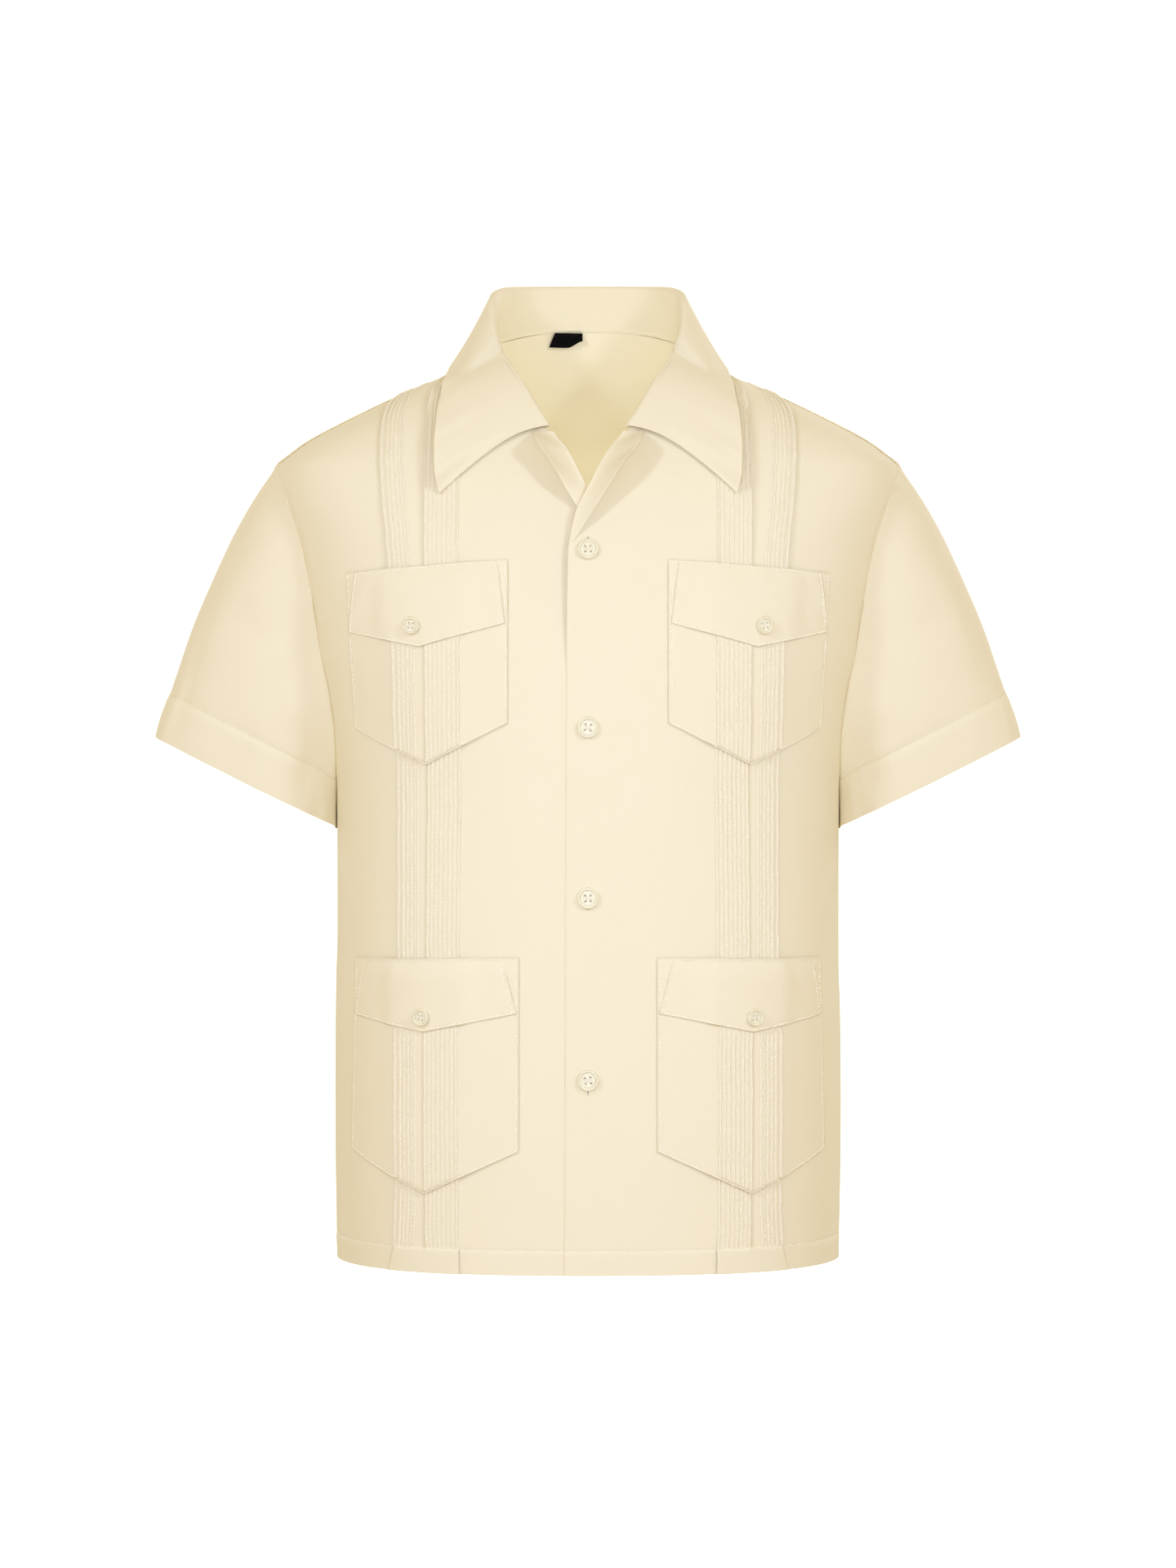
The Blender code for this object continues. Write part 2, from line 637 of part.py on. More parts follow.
def make_patch(side, name, patch, lift, rows, wall=TRIM_WALL):
    def place(u, v):
        across, height = patch_point(patch, u, v)
        return on_front(side, across, height, lift + wall)

    return cloth(name, 8, levels(0.0, 1.0, rows), place, wall=wall, turned=side < 0)


def make_pocket_band(side, name, pocket, flap):
    inner = smooth_curve(BAND, "height", "inner")
    outer = smooth_curve(BAND, "height", "outer")
    top = flap.corner_inner + 0.012

    def low_edge(across):
        if across < pocket.tip:
            t = (across - pocket.inner_low) / (pocket.tip - pocket.inner_low)
            return mix(pocket.corner_inner, pocket.tip_height, t) + 0.002
        t = (across - pocket.tip) / (pocket.outer_low - pocket.tip)
        return mix(pocket.tip_height, pocket.corner_outer, t) + 0.002

    rise = {step.place: step.rise for step in BAND_PROFILE}

    def place(u, v):
        middle_height = (pocket.tip_height + top) / 2
        across = mix(inner(middle_height), outer(middle_height), u)
        height = mix(low_edge(across), top, v)
        return on_front(side, across, height, POCKET_BAND_LIFT + TRIM_WALL + rise[u] / 2)

    return cloth(name, list(rise), levels(0.0, 1.0, 4), place, wall=TRIM_WALL, turned=side < 0)


# ---- Buttons and tab ----------------------------------------------------------------------------------------------
def button_profile(radius):
    """Half a button's section, from the rim's outside over the dished face to the flat back."""
    half = BUTTON_THICKNESS / 2
    return (
        (0.0, half - 0.0007),
        (radius * 0.62, half - 0.0007),
        (radius * 0.76, half),
        (radius * 0.93, half),
        (radius, half * 0.35),
        (radius * 0.97, -half * 0.6),
        (radius * 0.85, -half),
        (0.0, -half),
    )


def make_button(name, radius, centre, normal):
    bm = bmesh.new()
    points = [bm.verts.new((x, 0.0, z)) for x, z in button_profile(radius)]
    lines = [bm.edges.new(pair) for pair in zip(points, points[1:])]
    bmesh.ops.spin(
        bm, geom=points + lines, cent=(0, 0, 0), axis=(0, 0, 1), angle=2 * math.pi, steps=14, use_merge=True
    )
    bmesh.ops.remove_doubles(bm, verts=bm.verts, dist=1e-6)
    bmesh.ops.recalc_face_normals(bm, faces=bm.faces)
    piece = add_object(name, bm, BUTTON_CREAM, roughness=0.3)
    piece.location = centre
    piece.rotation_euler = normal.to_track_quat("Z", "Y").to_euler()
    for x in (-1, 1):
        for y in (-1, 1):
            drill_hole(piece, radius * 0.2 * x, radius * 0.2 * y, radius * 0.11)
    return piece


def drill_hole(piece, x, y, radius):
    bm = bmesh.new()
    bmesh.ops.create_cone(
        bm, cap_ends=True, segments=6, radius1=radius, radius2=radius, depth=4 * BUTTON_THICKNESS
    )
    bmesh.ops.translate(bm, verts=bm.verts, vec=(x, y, 0.0))
    mesh = bpy.data.meshes.new(piece.name + "_hole")
    bm.to_mesh(mesh)
    bm.free()
    cutter = bpy.data.objects.new(mesh.name, mesh)
    cutter.location = piece.location
    cutter.rotation_euler = piece.rotation_euler
    cutter.hide_render = True
    cutter.display_type = "WIRE"
    cutters.objects.link(cutter)
    cut = piece.modifiers.new("hole", "BOOLEAN")
    cut.operation = "DIFFERENCE"
    cut.object = cutter


def make_front_buttons():
    for number, height in enumerate(FRONT_BUTTON_HEIGHTS, start=1):
        lift = LAYER_GAP + BUTTON_THICKNESS / 2
        make_button(f"front_button_{number}", FRONT_BUTTON_RADIUS, on_form(height, 0.0, lift), outward(height, 0.0))


def make_flap_buttons(side, word):
    for level, (across, height) in FLAP_BUTTONS.items():
        lift = FLAP_LIFT + TRIM_WALL + LAYER_GAP + BUTTON_THICKNESS / 2
        normal = mirrored(outward(height, front_bearing_across(height, across)), side)
        centre = on_front(side, across, height, lift)
        make_button(f"flap_button_{level}_{word}", FLAP_BUTTON_RADIUS, centre, normal)


def make_size_tab():
    def place(u, v):
        curl = 0.0030 * smoothstep(0.45, 1.0, u) * (1 - smoothstep(0.0, 0.6, v))
        x = mix(TAB_OUTER, TAB_INNER, u)
        height = mix(TAB_LOW, TAB_TOP, v)
        behind = back_depth(height) * (1 - abs(x / half_width(height)) ** ROUNDNESS) ** (1 / ROUNDNESS)
        return Vector((x, behind + TAB_LIFT - curl, height))

    return cloth("size_tab", 6, levels(0.0, 1.0, 4), place, wall=TAB_WALL, colour=BLACK)


# ---- The shirt ----------------------------------------------------------------------------------------------------
for leftover in list(bpy.data.objects):
    bpy.data.objects.remove(leftover, do_unlink=True)

shirt = bpy.data.collections.new("guayabera_shirt")
cutters = bpy.data.collections.new("button_hole_cutters")
for group in (shirt, cutters):
    bpy.context.scene.collection.children.link(group)

make_back()
make_collar()
make_size_tab()
make_front_buttons()
for side, word in ((1, "left"), (-1, "right")):
    make_front(side, f"front_{word}")
    make_revers(side, f"revers_{word}")
    make_sleeve(side, f"sleeve_{word}")
    make_front_band(side, f"tuck_band_{word}")
    for level in ("upper", "lower"):
        make_patch(side, f"pocket_{level}_{word}", POCKETS[level], POCKET_LIFT, 6)
        make_pocket_band(side, f"pocket_tucks_{level}_{word}", POCKETS[level], FLAPS[level])
        make_patch(side, f"flap_{level}_{word}", FLAPS[level], FLAP_LIFT, 3)
    make_flap_buttons(side, word)
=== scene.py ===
"""The looks of a short-sleeved guayabera shirt, filled out and hollow, with no wearer.

Metres, +Z up. The front faces -Y, and left and right are the wearer's: the wearer's left is +X. Each
piece of cloth is a thin sheet on the same general form as its solid, with its tucks, folds and seams
raised or sunk from it. A place on the front is given as its distance across the cloth from the centre
line and its height.
"""

import math
from collections import namedtuple

import bmesh
import bpy
import numpy as np
from mathutils import Matrix, Vector


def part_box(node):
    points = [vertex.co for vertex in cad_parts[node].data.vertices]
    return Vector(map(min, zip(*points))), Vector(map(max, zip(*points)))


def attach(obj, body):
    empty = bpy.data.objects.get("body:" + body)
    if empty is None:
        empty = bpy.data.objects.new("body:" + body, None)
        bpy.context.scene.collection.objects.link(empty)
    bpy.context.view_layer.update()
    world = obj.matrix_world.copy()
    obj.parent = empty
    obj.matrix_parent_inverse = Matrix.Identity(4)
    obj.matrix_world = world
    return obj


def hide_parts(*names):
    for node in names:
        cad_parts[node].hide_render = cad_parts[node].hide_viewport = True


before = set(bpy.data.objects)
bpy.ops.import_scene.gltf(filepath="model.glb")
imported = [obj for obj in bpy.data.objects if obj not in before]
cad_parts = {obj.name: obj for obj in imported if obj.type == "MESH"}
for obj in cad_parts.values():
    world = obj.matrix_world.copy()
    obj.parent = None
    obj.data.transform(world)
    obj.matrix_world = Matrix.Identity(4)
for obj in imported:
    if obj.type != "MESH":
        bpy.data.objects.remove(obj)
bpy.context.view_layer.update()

# ---- Cloth and seams -----------------------------------------------------------------------------
CLOTH_WALL = 0.0006
COLLAR_WALL = 0.0011
STRIP_WALL = 0.0004
BORDER = 0.0004
STEP = 0.0045
FINE_STEP = 0.0026

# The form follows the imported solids: their hem, shoulder and neck heights, and the body's half width.
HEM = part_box("front_left")[0][2]
SIDE_SEAM_TOP = -0.345
ARMPIT = -0.335
SHOULDER_TIP = -0.0905
NECK_POINT = 0.0095
BACK_NECK = 0.030
V_BOTTOM = -0.117

ROUNDNESS = 2.4
Section = namedtuple("Section", "height half_width front_depth back_depth")
FORM = (
    Section(-0.7230, 0.2015, 0.1400, 0.1250),
    Section(-0.6000, 0.2018, 0.1410, 0.1220),
    Section(-0.4500, 0.2018, 0.1430, 0.1180),
    Section(-0.3500, 0.2020, 0.1450, 0.1200),
    Section(-0.3200, 0.2052, 0.1455, 0.1210),
    Section(-0.2700, 0.2140, 0.1455, 0.1230),
    Section(-0.2450, 0.2205, 0.1445, 0.1230),
    Section(-0.2000, 0.2295, 0.1390, 0.1220),
    Section(-0.1570, 0.2395, 0.1300, 0.1170),
    Section(-0.1200, 0.2515, 0.1180, 0.1090),
    Section(-0.1050, 0.2540, 0.1120, 0.1040),
    Section(-0.0910, 0.2530, 0.1055, 0.0985),
    Section(-0.0810, 0.2420, 0.1010, 0.0945),
    Section(-0.0720, 0.2300, 0.0965, 0.0900),
    Section(-0.0530, 0.1947, 0.0870, 0.0830),
    Section(-0.0300, 0.1463, 0.0730, 0.0750),
    Section(-0.0165, 0.1150, 0.0620, 0.0720),
    Section(-0.0040, 0.0925, 0.0480, 0.0690),
    Section(0.0120, 0.0765, 0.0300, 0.0660),
    Section(0.0320, 0.0680, 0.0200, 0.0605),
)

# How far in front of (-) or behind (+) the side line each panel's outer edge lies.
Edge = namedtuple("Edge", "height y")
FRONT_EDGE = (
    Edge(-0.7230, 0.0),
    Edge(SIDE_SEAM_TOP, 0.0),
    Edge(ARMPIT, -0.026),
    Edge(-0.3180, -0.040),
    Edge(-0.2900, -0.049),
    Edge(-0.2600, -0.053),
    Edge(-0.2000, -0.055),
    Edge(-0.1500, -0.053),
    Edge(-0.1200, -0.047),
    Edge(-0.1040, -0.039),
    Edge(-0.0955, -0.032),
    Edge(SHOULDER_TIP, -0.028),
    Edge(-0.0700, -0.026),
    Edge(-0.0500, -0.022),
    Edge(-0.0300, -0.016),
    Edge(-0.0100, -0.009),
    Edge(NECK_POINT, -0.002),
)
BACK_ARMHOLE = (
    Edge(-0.7230, 0.0),
    Edge(SIDE_SEAM_TOP, 0.0),
    Edge(ARMPIT, 0.026),
    Edge(-0.3180, 0.038),
    Edge(-0.2900, 0.046),
    Edge(-0.2400, 0.051),
    Edge(-0.1800, 0.052),
    Edge(-0.1350, 0.048),
    Edge(-0.1120, 0.041),
    Edge(-0.0990, 0.030),
    Edge(-0.0945, 0.018),
    Edge(-0.0920, 0.002),
    Edge(-0.0910, -0.012),
    Edge(SHOULDER_TIP, -0.028),
)

# The front's inner edge: the free edge, then the roll line of the revers, then the neckline.
Inner = namedtuple("Inner", "height x")
FRONT_INNER = (
    Inner(-0.7230, -0.0185),
    Inner(-0.3000, -0.0170),
    Inner(-0.1620, -0.0155),
    Inner(-0.1418, -0.0105),
    Inner(-0.1300, -0.0070),
    Inner(V_BOTTOM, 0.0000),
    Inner(-0.0914, 0.0127),
    Inner(-0.0720, 0.0255),
    Inner(-0.0640, 0.0355),
    Inner(-0.0484, 0.0445),
    Inner(-0.0310, 0.0545),
    Inner(-0.0110, 0.0680),
    Inner(NECK_POINT, 0.0772),
)
BACK_NECKLINE = (
    Inner(NECK_POINT, 0.0785),
    Inner(0.0160, 0.0700),
    Inner(0.0200, 0.0610),
    Inner(0.0235, 0.0500),
    Inner(0.0262, 0.0380),
    Inner(0.0283, 0.0250),
    Inner(BACK_NECK, 0.0120),
)

# Heights that each row of the back's threads has at its outer ends and at the centre back.
BackRow = namedtuple("BackRow", "outer centre")
BACK_ROWS = (
    BackRow(-0.7230, -0.7230),
    BackRow(-0.2075, -0.2075),
    BackRow(-0.1660, -0.1720),
    BackRow(-0.1250, -0.1400),
    BackRow(-0.1040, -0.1200),
    BackRow(-0.0955, -0.1080),
    BackRow(-0.0945, -0.0990),
    BackRow(-0.0920, -0.0900),
    BackRow(-0.0910, -0.0810),
    BackRow(SHOULDER_TIP, -0.0720),
    BackRow(-0.0754, -0.0580),
    BackRow(-0.0450, -0.0340),
    BackRow(-0.0140, -0.0090),
    BackRow(0.0085, 0.0120),
    BackRow(0.0200, 0.0218),
    BackRow(0.0283, 0.0286),
    BackRow(BACK_NECK, BACK_NECK),
)

# The under front passes this far behind the top one, and comes back to the form over the distances given.
UNDERLAP = 0.0048
UNDERLAP_BELOW = 0.0009
UNDERLAP_FULL = 0.020
UNDERLAP_OVER = 0.060
UNDERLAP_TOP = -0.080
UNDERLAP_TOP_FULL = -0.112
UNDERLAP_DEEPENS = (-0.270, -0.175)

# Revers: roll line, free edge, and how far the free edge of each side stands off its front.
Revers = namedtuple("Revers", "height roll edge left_stand right_stand")
REVERS = (
    Revers(-0.1570, -0.0143, -0.0110, 0.0008, 0.0000),
    Revers(-0.1480, -0.0122, -0.0045, 0.0030, 0.0000),
    Revers(-0.1340, -0.0080, 0.0055, 0.0070, 0.0005),
    Revers(-0.1240, -0.0037, 0.0125, 0.0100, 0.0040),
    Revers(-0.1171, 0.0002, 0.0175, 0.0120, 0.0080),
    Revers(-0.1024, 0.0075, 0.0278, 0.0175, 0.0165),
    Revers(-0.0850, 0.0168, 0.0402, 0.0170, 0.0170),
    Revers(-0.0690, 0.0275, 0.0430, 0.0010, 0.0010),
)
RIGHT_REVERS_END = -0.134
ROLL_RADIUS = 0.0016

# Collar stations from the centre back round to the front end, on the left half.
Station = namedtuple("Station", "seam fold middle edge")
COLLAR = (
    Station(
        (0.0000, 0.0592, 0.0275), (0.0000, 0.0655, 0.0668),
        (0.0000, 0.0800, 0.0420), (0.0000, 0.0870, 0.0170),
    ),
    Station(
        (0.0400, 0.0500, 0.0240), (0.0445, 0.0545, 0.0650),
        (0.0560, 0.0660, 0.0360), (0.0630, 0.0740, 0.0080),
    ),
    Station(
        (0.0665, 0.0240, 0.0130), (0.0700, 0.0270, 0.0598),
        (0.0875, 0.0340, 0.0250), (0.0995, 0.0390, -0.0040),
    ),
    Station(
        (0.0725, -0.0020, 0.0060), (0.0766, -0.0030, 0.0465),
        (0.0975, -0.0040, 0.0140), (0.1120, -0.0050, -0.0090),
    ),
    Station(
        (0.0690, -0.0215, 0.0000), (0.0735, -0.0280, 0.0190),
        (0.0960, -0.0400, -0.0070), (0.1130, -0.0480, -0.0300),
    ),
    Station(
        (0.0650, -0.0440, -0.0150), (0.0612, -0.0490, -0.0105),
        (0.0920, -0.0680, -0.0390), (0.1160, -0.0760, -0.0590),
    ),
    Station(
        (0.0560, -0.0670, -0.0350), (0.0490, -0.0712, -0.0310),
        (0.0870, -0.0850, -0.0565), (0.1178, -0.0930, -0.0830),
    ),
    Station(
        (0.0460, -0.0805, -0.0530), (0.0391, -0.0840, -0.0484),
        (0.0765, -0.0950, -0.0660), (0.1180, -0.1050, -0.1015),
    ),
    Station(
        (0.0345, -0.0900, -0.0670), (0.0290, -0.0945, -0.0640),
        (0.0640, -0.0990, -0.0705), (0.1162, -0.1130, -0.1185),
    ),
)
FOLD_RADIUS = 0.0036
FOLD_LIFT = 0.0008
LEAF_LIFT = 0.0034
LEAF_EDGE_LIFT = 0.0130
STAND_LIFT = -0.0014
TUCKED_BEHIND = -0.0040

# Sleeve rings from the armhole to the hem, on the left: the top line, the under line, and half depths.
Ring = namedtuple("Ring", "along top_x top_z under_x under_z front_depth back_depth")
SLEEVE = (
    Ring(0.000, 0.2530, -0.0910, 0.2010, -0.3450, 0.055, 0.052),
    Ring(0.125, 0.2725, -0.1140, 0.1990, -0.3480, 0.056, 0.053),
    Ring(0.280, 0.2880, -0.1470, 0.1990, -0.3525, 0.054, 0.052),
    Ring(0.420, 0.3020, -0.1775, 0.1990, -0.3560, 0.052, 0.050),
    Ring(0.594, 0.3183, -0.2155, 0.1990, -0.3640, 0.049, 0.047),
    Ring(0.814, 0.3350, -0.2640, 0.1990, -0.3730, 0.045, 0.044),
    Ring(0.950, 0.3460, -0.2945, 0.1990, -0.3790, 0.043, 0.041),
    Ring(1.000, 0.3490, -0.3065, 0.1990, -0.3805, 0.042, 0.040),
)
SLEEVE_BLEND = 0.30
SLEEVE_HEM = 0.035

# Tucked bands down the fronts: distances across from the centre line at each height.
Band = namedtuple("Band", "height inner outer")
BAND = (
    Band(-0.7230, 0.1000, 0.1625),
    Band(-0.7060, 0.1005, 0.1580),
    Band(-0.6750, 0.1010, 0.1560),
    Band(-0.4300, 0.0995, 0.1530),
    Band(-0.3400, 0.0985, 0.1530),
    Band(-0.1760, 0.1002, 0.1575),
    Band(-0.1100, 0.1004, 0.1630),
    Band(-0.0560, 0.1004, 0.1660),
)
BAND_BELOW_SEAM = 0.0008

# Tucks of a band or a pocket's strip, by the free edge's distance from the strip's nearer side, which
# it keeps where the strip widens. Each lies open towards the outer side.
Tuck = namedtuple("Tuck", "edge width height")
INNER_TUCKS = (
    Tuck(0.0018, 0.0018, 0.00080),
    Tuck(0.0055, 0.0026, 0.00050),
    Tuck(0.0093, 0.0026, 0.00050),
    Tuck(0.0131, 0.0026, 0.00050),
    Tuck(0.0168, 0.0026, 0.00055),
    Tuck(0.0204, 0.0026, 0.00055),
    Tuck(0.0238, 0.0026, 0.00060),
    Tuck(0.0273, 0.0030, 0.00075),
)
OUTER_TUCKS = (
    Tuck(0.0180, 0.0026, 0.00080),
    Tuck(0.0155, 0.0024, 0.00055),
    Tuck(0.0121, 0.0026, 0.00060),
    Tuck(0.0086, 0.0028, 0.00065),
    Tuck(0.0052, 0.0030, 0.00125),
    Tuck(0.0000, 0.0044, 0.00195),
)
STRIP_WIDTH = 0.0535
TUCK_FALL = 0.00025
TUCK_FALL_START = 0.00012
STRIP_LIFT = 0.0008
BODY_HEM_STITCH = HEM + 0.0190

# Patch pockets and their flaps. Distances are across from the centre line, to the inner and outer side.
Patch = namedtuple(
    "Patch",
    "inner_top outer_top inner_low outer_low top_inner top_outer corner_inner corner_outer tip tip_height",
)
POCKETS = {
    "upper": Patch(0.0617, 0.1968, 0.0617, 0.1980, -0.1708, -0.1790, -0.2983, -0.3008, 0.1270, -0.3306),
    "lower": Patch(0.0530, 0.2010, 0.0533, 0.2075, -0.4770, -0.4795, -0.6280, -0.6309, 0.1285, -0.6628),
}
FLAPS = {
    "upper": Patch(0.0700, 0.1880, 0.0638, 0.1960, -0.1712, -0.1786, -0.2220, -0.2265, 0.1310, -0.2397),
    "lower": Patch(0.0660, 0.1905, 0.0545, 0.2003, -0.4788, -0.4812, -0.5218, -0.5257, 0.1285, -0.5372),
}
POCKET_LIFT = 0.0016
POCKET_LIFT_ON_BAND = 0.0027
POCKET_PUFF = 0.0006
POCKET_STRIP_LIFT = 0.0034
FLAP_LIFT = 0.0027
FLAP_LIFT_ON_BAND = 0.0049
FLAP_STAND = 0.0006
SEAM_DIP = 0.0008

FRONT_BUTTON_HEIGHTS = (-0.1637, -0.3012, -0.4323, -0.5724)
FRONT_BUTTON_TURNS = (0.06, -0.10, 0.04, 0.12)
FRONT_BUTTON_RADIUS = 0.0082
FLAP_BUTTON_RADIUS = 0.0066
FLAP_BUTTONS = {"upper": (0.1365, -0.2228), "lower": (0.1294, -0.5251)}
BUTTON_THICKNESS = 0.0026

# Soft creases of the body: bearing round the form in degrees and height of both ends, width and rise.
Crease = namedtuple("Crease", "start_bearing start_height end_bearing end_height width rise")
CREASES = (
    # from the armholes' lower fronts towards the pockets' corners
    Crease(76, -0.236, 60, -0.181, 0.0060, -0.0012),
    Crease(78, -0.250, 66, -0.205, 0.0090, 0.0010),
    Crease(-75, -0.232, -61, -0.180, 0.0055, -0.0012),
    Crease(-79, -0.247, -67, -0.208, 0.0085, 0.0009),
    # drag lines below the armpits
    Crease(78, -0.400, 69, -0.450, 0.0110, 0.0014),
    Crease(102, -0.398, 114, -0.460, 0.0120, 0.0022),
    Crease(-79, -0.398, -70, -0.440, 0.0100, 0.0012),
    Crease(-101, -0.396, -115, -0.470, 0.0130, 0.0024),
    # long soft folds that fall from the shoulder blades to the hem
    Crease(150, -0.190, 146, -0.715, 0.0260, 0.0060),
    Crease(133, -0.260, 128, -0.700, 0.0190, -0.0040),
    Crease(-148, -0.180, -152, -0.720, 0.0280, 0.0055),
    Crease(-131, -0.275, -126, -0.690, 0.0180, -0.0042),
    Crease(172, -0.330, 177, -0.720, 0.0220, -0.0038),
    Crease(163, -0.480, 160, -0.718, 0.0150, 0.0030),
    Crease(-168, -0.420, -166, -0.716, 0.0190, 0.0034),
    # slack across the small of the back
    Crease(142, -0.430, -172, -0.455, 0.0110, 0.0026),
    Crease(-142, -0.470, 170, -0.492, 0.0120, 0.0022),
    Crease(150, -0.505, 178, -0.520, 0.0090, -0.0016),
    # pulls from the backs of the armholes
    Crease(118, -0.215, 146, -0.262, 0.0090, 0.0020),
    Crease(-116, -0.205, -148, -0.250, 0.0100, 0.0022),
    Crease(116, -0.280, 138, -0.345, 0.0100, -0.0018),
    Crease(-117, -0.270, -137, -0.350, 0.0090, -0.0018),
    # the side panels ease towards the hem
    Crease(84, -0.520, 82, -0.715, 0.0180, 0.0020),
    Crease(-86, -0.500, -83, -0.718, 0.0190, 0.0018),
    Crease(103, -0.480, 106, -0.715, 0.0160, -0.0026),
    Crease(-105, -0.510, -108, -0.712, 0.0150, -0.0024),
)
UNROLLED_RADIUS = 0.175


# ---- Curves and the form -------------------------------------------------------------------------
def smooth_curve(rows, place, value):
    """A curve through a table's rows that never overshoots them, as a function of the place column."""
    at = np.array([getattr(row, place) for row in rows])
    to = np.array([getattr(row, value) for row in rows])
    steps = np.diff(at)
    slopes = np.diff(to) / steps
    lean = np.concatenate([slopes[:1], np.zeros(len(slopes) - 1), slopes[-1:]])
    same_way = slopes[:-1] * slopes[1:] > 0
    first, second = 2 * steps[1:] + steps[:-1], steps[1:] + 2 * steps[:-1]
    with np.errstate(divide="ignore", invalid="ignore"):
        middle = (first + second) / (first / slopes[:-1] + second / slopes[1:])
    lean[1:-1] = np.where(same_way, middle, 0.0)

    def curve(x):
        x = np.clip(x, at[0], at[-1])
        i = np.clip(np.searchsorted(at, x, side="right") - 1, 0, len(steps) - 1)
        t = (x - at[i]) / steps[i]
        bend = t * (1 - t) * steps[i] * (lean[i] * (1 - t) - lean[i + 1] * t)
        return to[i] + (to[i + 1] - to[i]) * t * t * (3 - 2 * t) + bend

    return curve


half_width = smooth_curve(FORM, "height", "half_width")
front_depth = smooth_curve(FORM, "height", "front_depth")
back_depth = smooth_curve(FORM, "height", "back_depth")
front_edge_y = smooth_curve(FRONT_EDGE, "height", "y")
back_armhole_y = smooth_curve(BACK_ARMHOLE, "height", "y")
front_inner_x = smooth_curve(FRONT_INNER, "height", "x")
back_neckline_x = smooth_curve(BACK_NECKLINE, "height", "x")
back_centre_height = smooth_curve(BACK_ROWS, "outer", "centre")
band_inner = smooth_curve(BAND, "height", "inner")
band_outer = smooth_curve(BAND, "height", "outer")


def mix(a, b, t):
    return a + (b - a) * t


def smoothstep(low, high, x):
    t = np.clip((x - low) / (high - low), 0.0, 1.0)
    return t * t * (3 - 2 * t)


def unit(vectors):
    return vectors / np.linalg.norm(vectors, axis=-1, keepdims=True)


def running_length(points):
    """How far along a line of points each one lies."""
    return np.concatenate([[0.0], np.cumsum(np.linalg.norm(np.diff(points, axis=0), axis=-1))])


def spread(values):
    """Numbers as a column, to scale vectors with."""
    return np.asarray(values)[..., None]


def outline(height, bearing):
    """The form's point at a height and a bearing: 0 is the centre front and 90 degrees the left side."""
    side, ahead = np.sin(bearing), np.cos(bearing)
    depth = np.where(ahead > 0, front_depth(height), back_depth(height))
    pull = (np.abs(side) / half_width(height)) ** ROUNDNESS + (np.abs(ahead) / depth) ** ROUNDNESS
    reach = pull ** (-1 / ROUNDNESS)
    return np.stack([reach * side, -reach * ahead, height + 0 * reach], axis=-1)


def outward(height, bearing):
    step = 1e-4
    across = outline(height, bearing + step) - outline(height, bearing - step)
    upward = outline(height + step, bearing) - outline(height - step, bearing)
    return unit(np.cross(across, upward))


def drape(height, bearing):
    """How far the body's soft creases raise the cloth at a place."""
    raised = np.zeros(np.broadcast(height, bearing).shape)
    for crease in CREASES:
        start, end = math.radians(crease.start_bearing), math.radians(crease.end_bearing)
        if abs(end - start) > math.pi:
            end += math.copysign(2 * math.pi, start - end)
        run = np.array([(end - start) * UNROLLED_RADIUS, crease.end_height - crease.start_height])
        turn = np.mod(bearing - start + math.pi, 2 * math.pi) - math.pi
        place = np.stack([turn * UNROLLED_RADIUS, height - crease.start_height + 0 * turn], axis=-1)
        along = np.clip(place @ run / (run @ run), 0.0, 1.0)
        away = np.linalg.norm(place - spread(along) * run, axis=-1)
        taper = np.sin(math.pi * np.clip(along * 0.8 + 0.15, 0, 1)) ** 0.7
        raised += crease.rise * np.exp(-((away / crease.width) ** 2)) * taper
    return raised


def on_form(height, bearing, lift=0.0):
    height, bearing = np.broadcast_arrays(np.asarray(height, float), np.asarray(bearing, float))
    raised = lift + drape(height, bearing)
    return outline(height, bearing) + outward(height, bearing) * spread(raised)


def front_bearing_at_x(height, x):
    share = np.minimum(np.abs(x) / half_width(height), 1.0)
    ahead = front_depth(height) * (1 - share**ROUNDNESS) ** (1 / ROUNDNESS)
    return np.arctan2(x, ahead)


def bearing_at_y(height, y):
    """The bearing on the left half where the form is this far before (-) or behind (+) its side line."""
    depth = np.where(y < 0, front_depth(height), back_depth(height))
    share = np.minimum(np.abs(y) / depth, 1.0)
    side = half_width(height) * (1 - share**ROUNDNESS) ** (1 / ROUNDNESS)
    return np.arctan2(side, -y)


ACROSS_STEP = 0.001
ACROSS_REACH = 0.262
ARC_HEIGHTS = np.linspace(-0.735, 0.030, 766)


def bearings_across():
    """For each height, the bearings at evenly spaced distances across the front from the centre line."""
    bearings = np.linspace(0, math.pi / 2, 241)
    points = outline(ARC_HEIGHTS[:, None], bearings[None, :])
    lengths = np.cumsum(np.linalg.norm(np.diff(points, axis=1), axis=-1), axis=1)
    distances = np.arange(0, ACROSS_REACH, ACROSS_STEP)
    return np.array([np.interp(distances, np.concatenate([[0.0], row]), bearings) for row in lengths])


BEARINGS_ACROSS = bearings_across()


def front_bearing_across(height, across):
    row = np.clip(np.interp(height, ARC_HEIGHTS, np.arange(len(ARC_HEIGHTS))), 0, len(ARC_HEIGHTS) - 1.001)
    column = np.clip(across / ACROSS_STEP, 0, BEARINGS_ACROSS.shape[1] - 1.001)
    i, j = row.astype(int), column.astype(int)
    s, t = row - i, column - j
    low = mix(BEARINGS_ACROSS[i, j], BEARINGS_ACROSS[i, j + 1], t)
    high = mix(BEARINGS_ACROSS[i + 1, j], BEARINGS_ACROSS[i + 1, j + 1], t)
    return mix(low, high, s)


WORDS = {1: "left", -1: "right"}


def mirrored(points, side):
    return points * np.array([side, 1.0, 1.0])


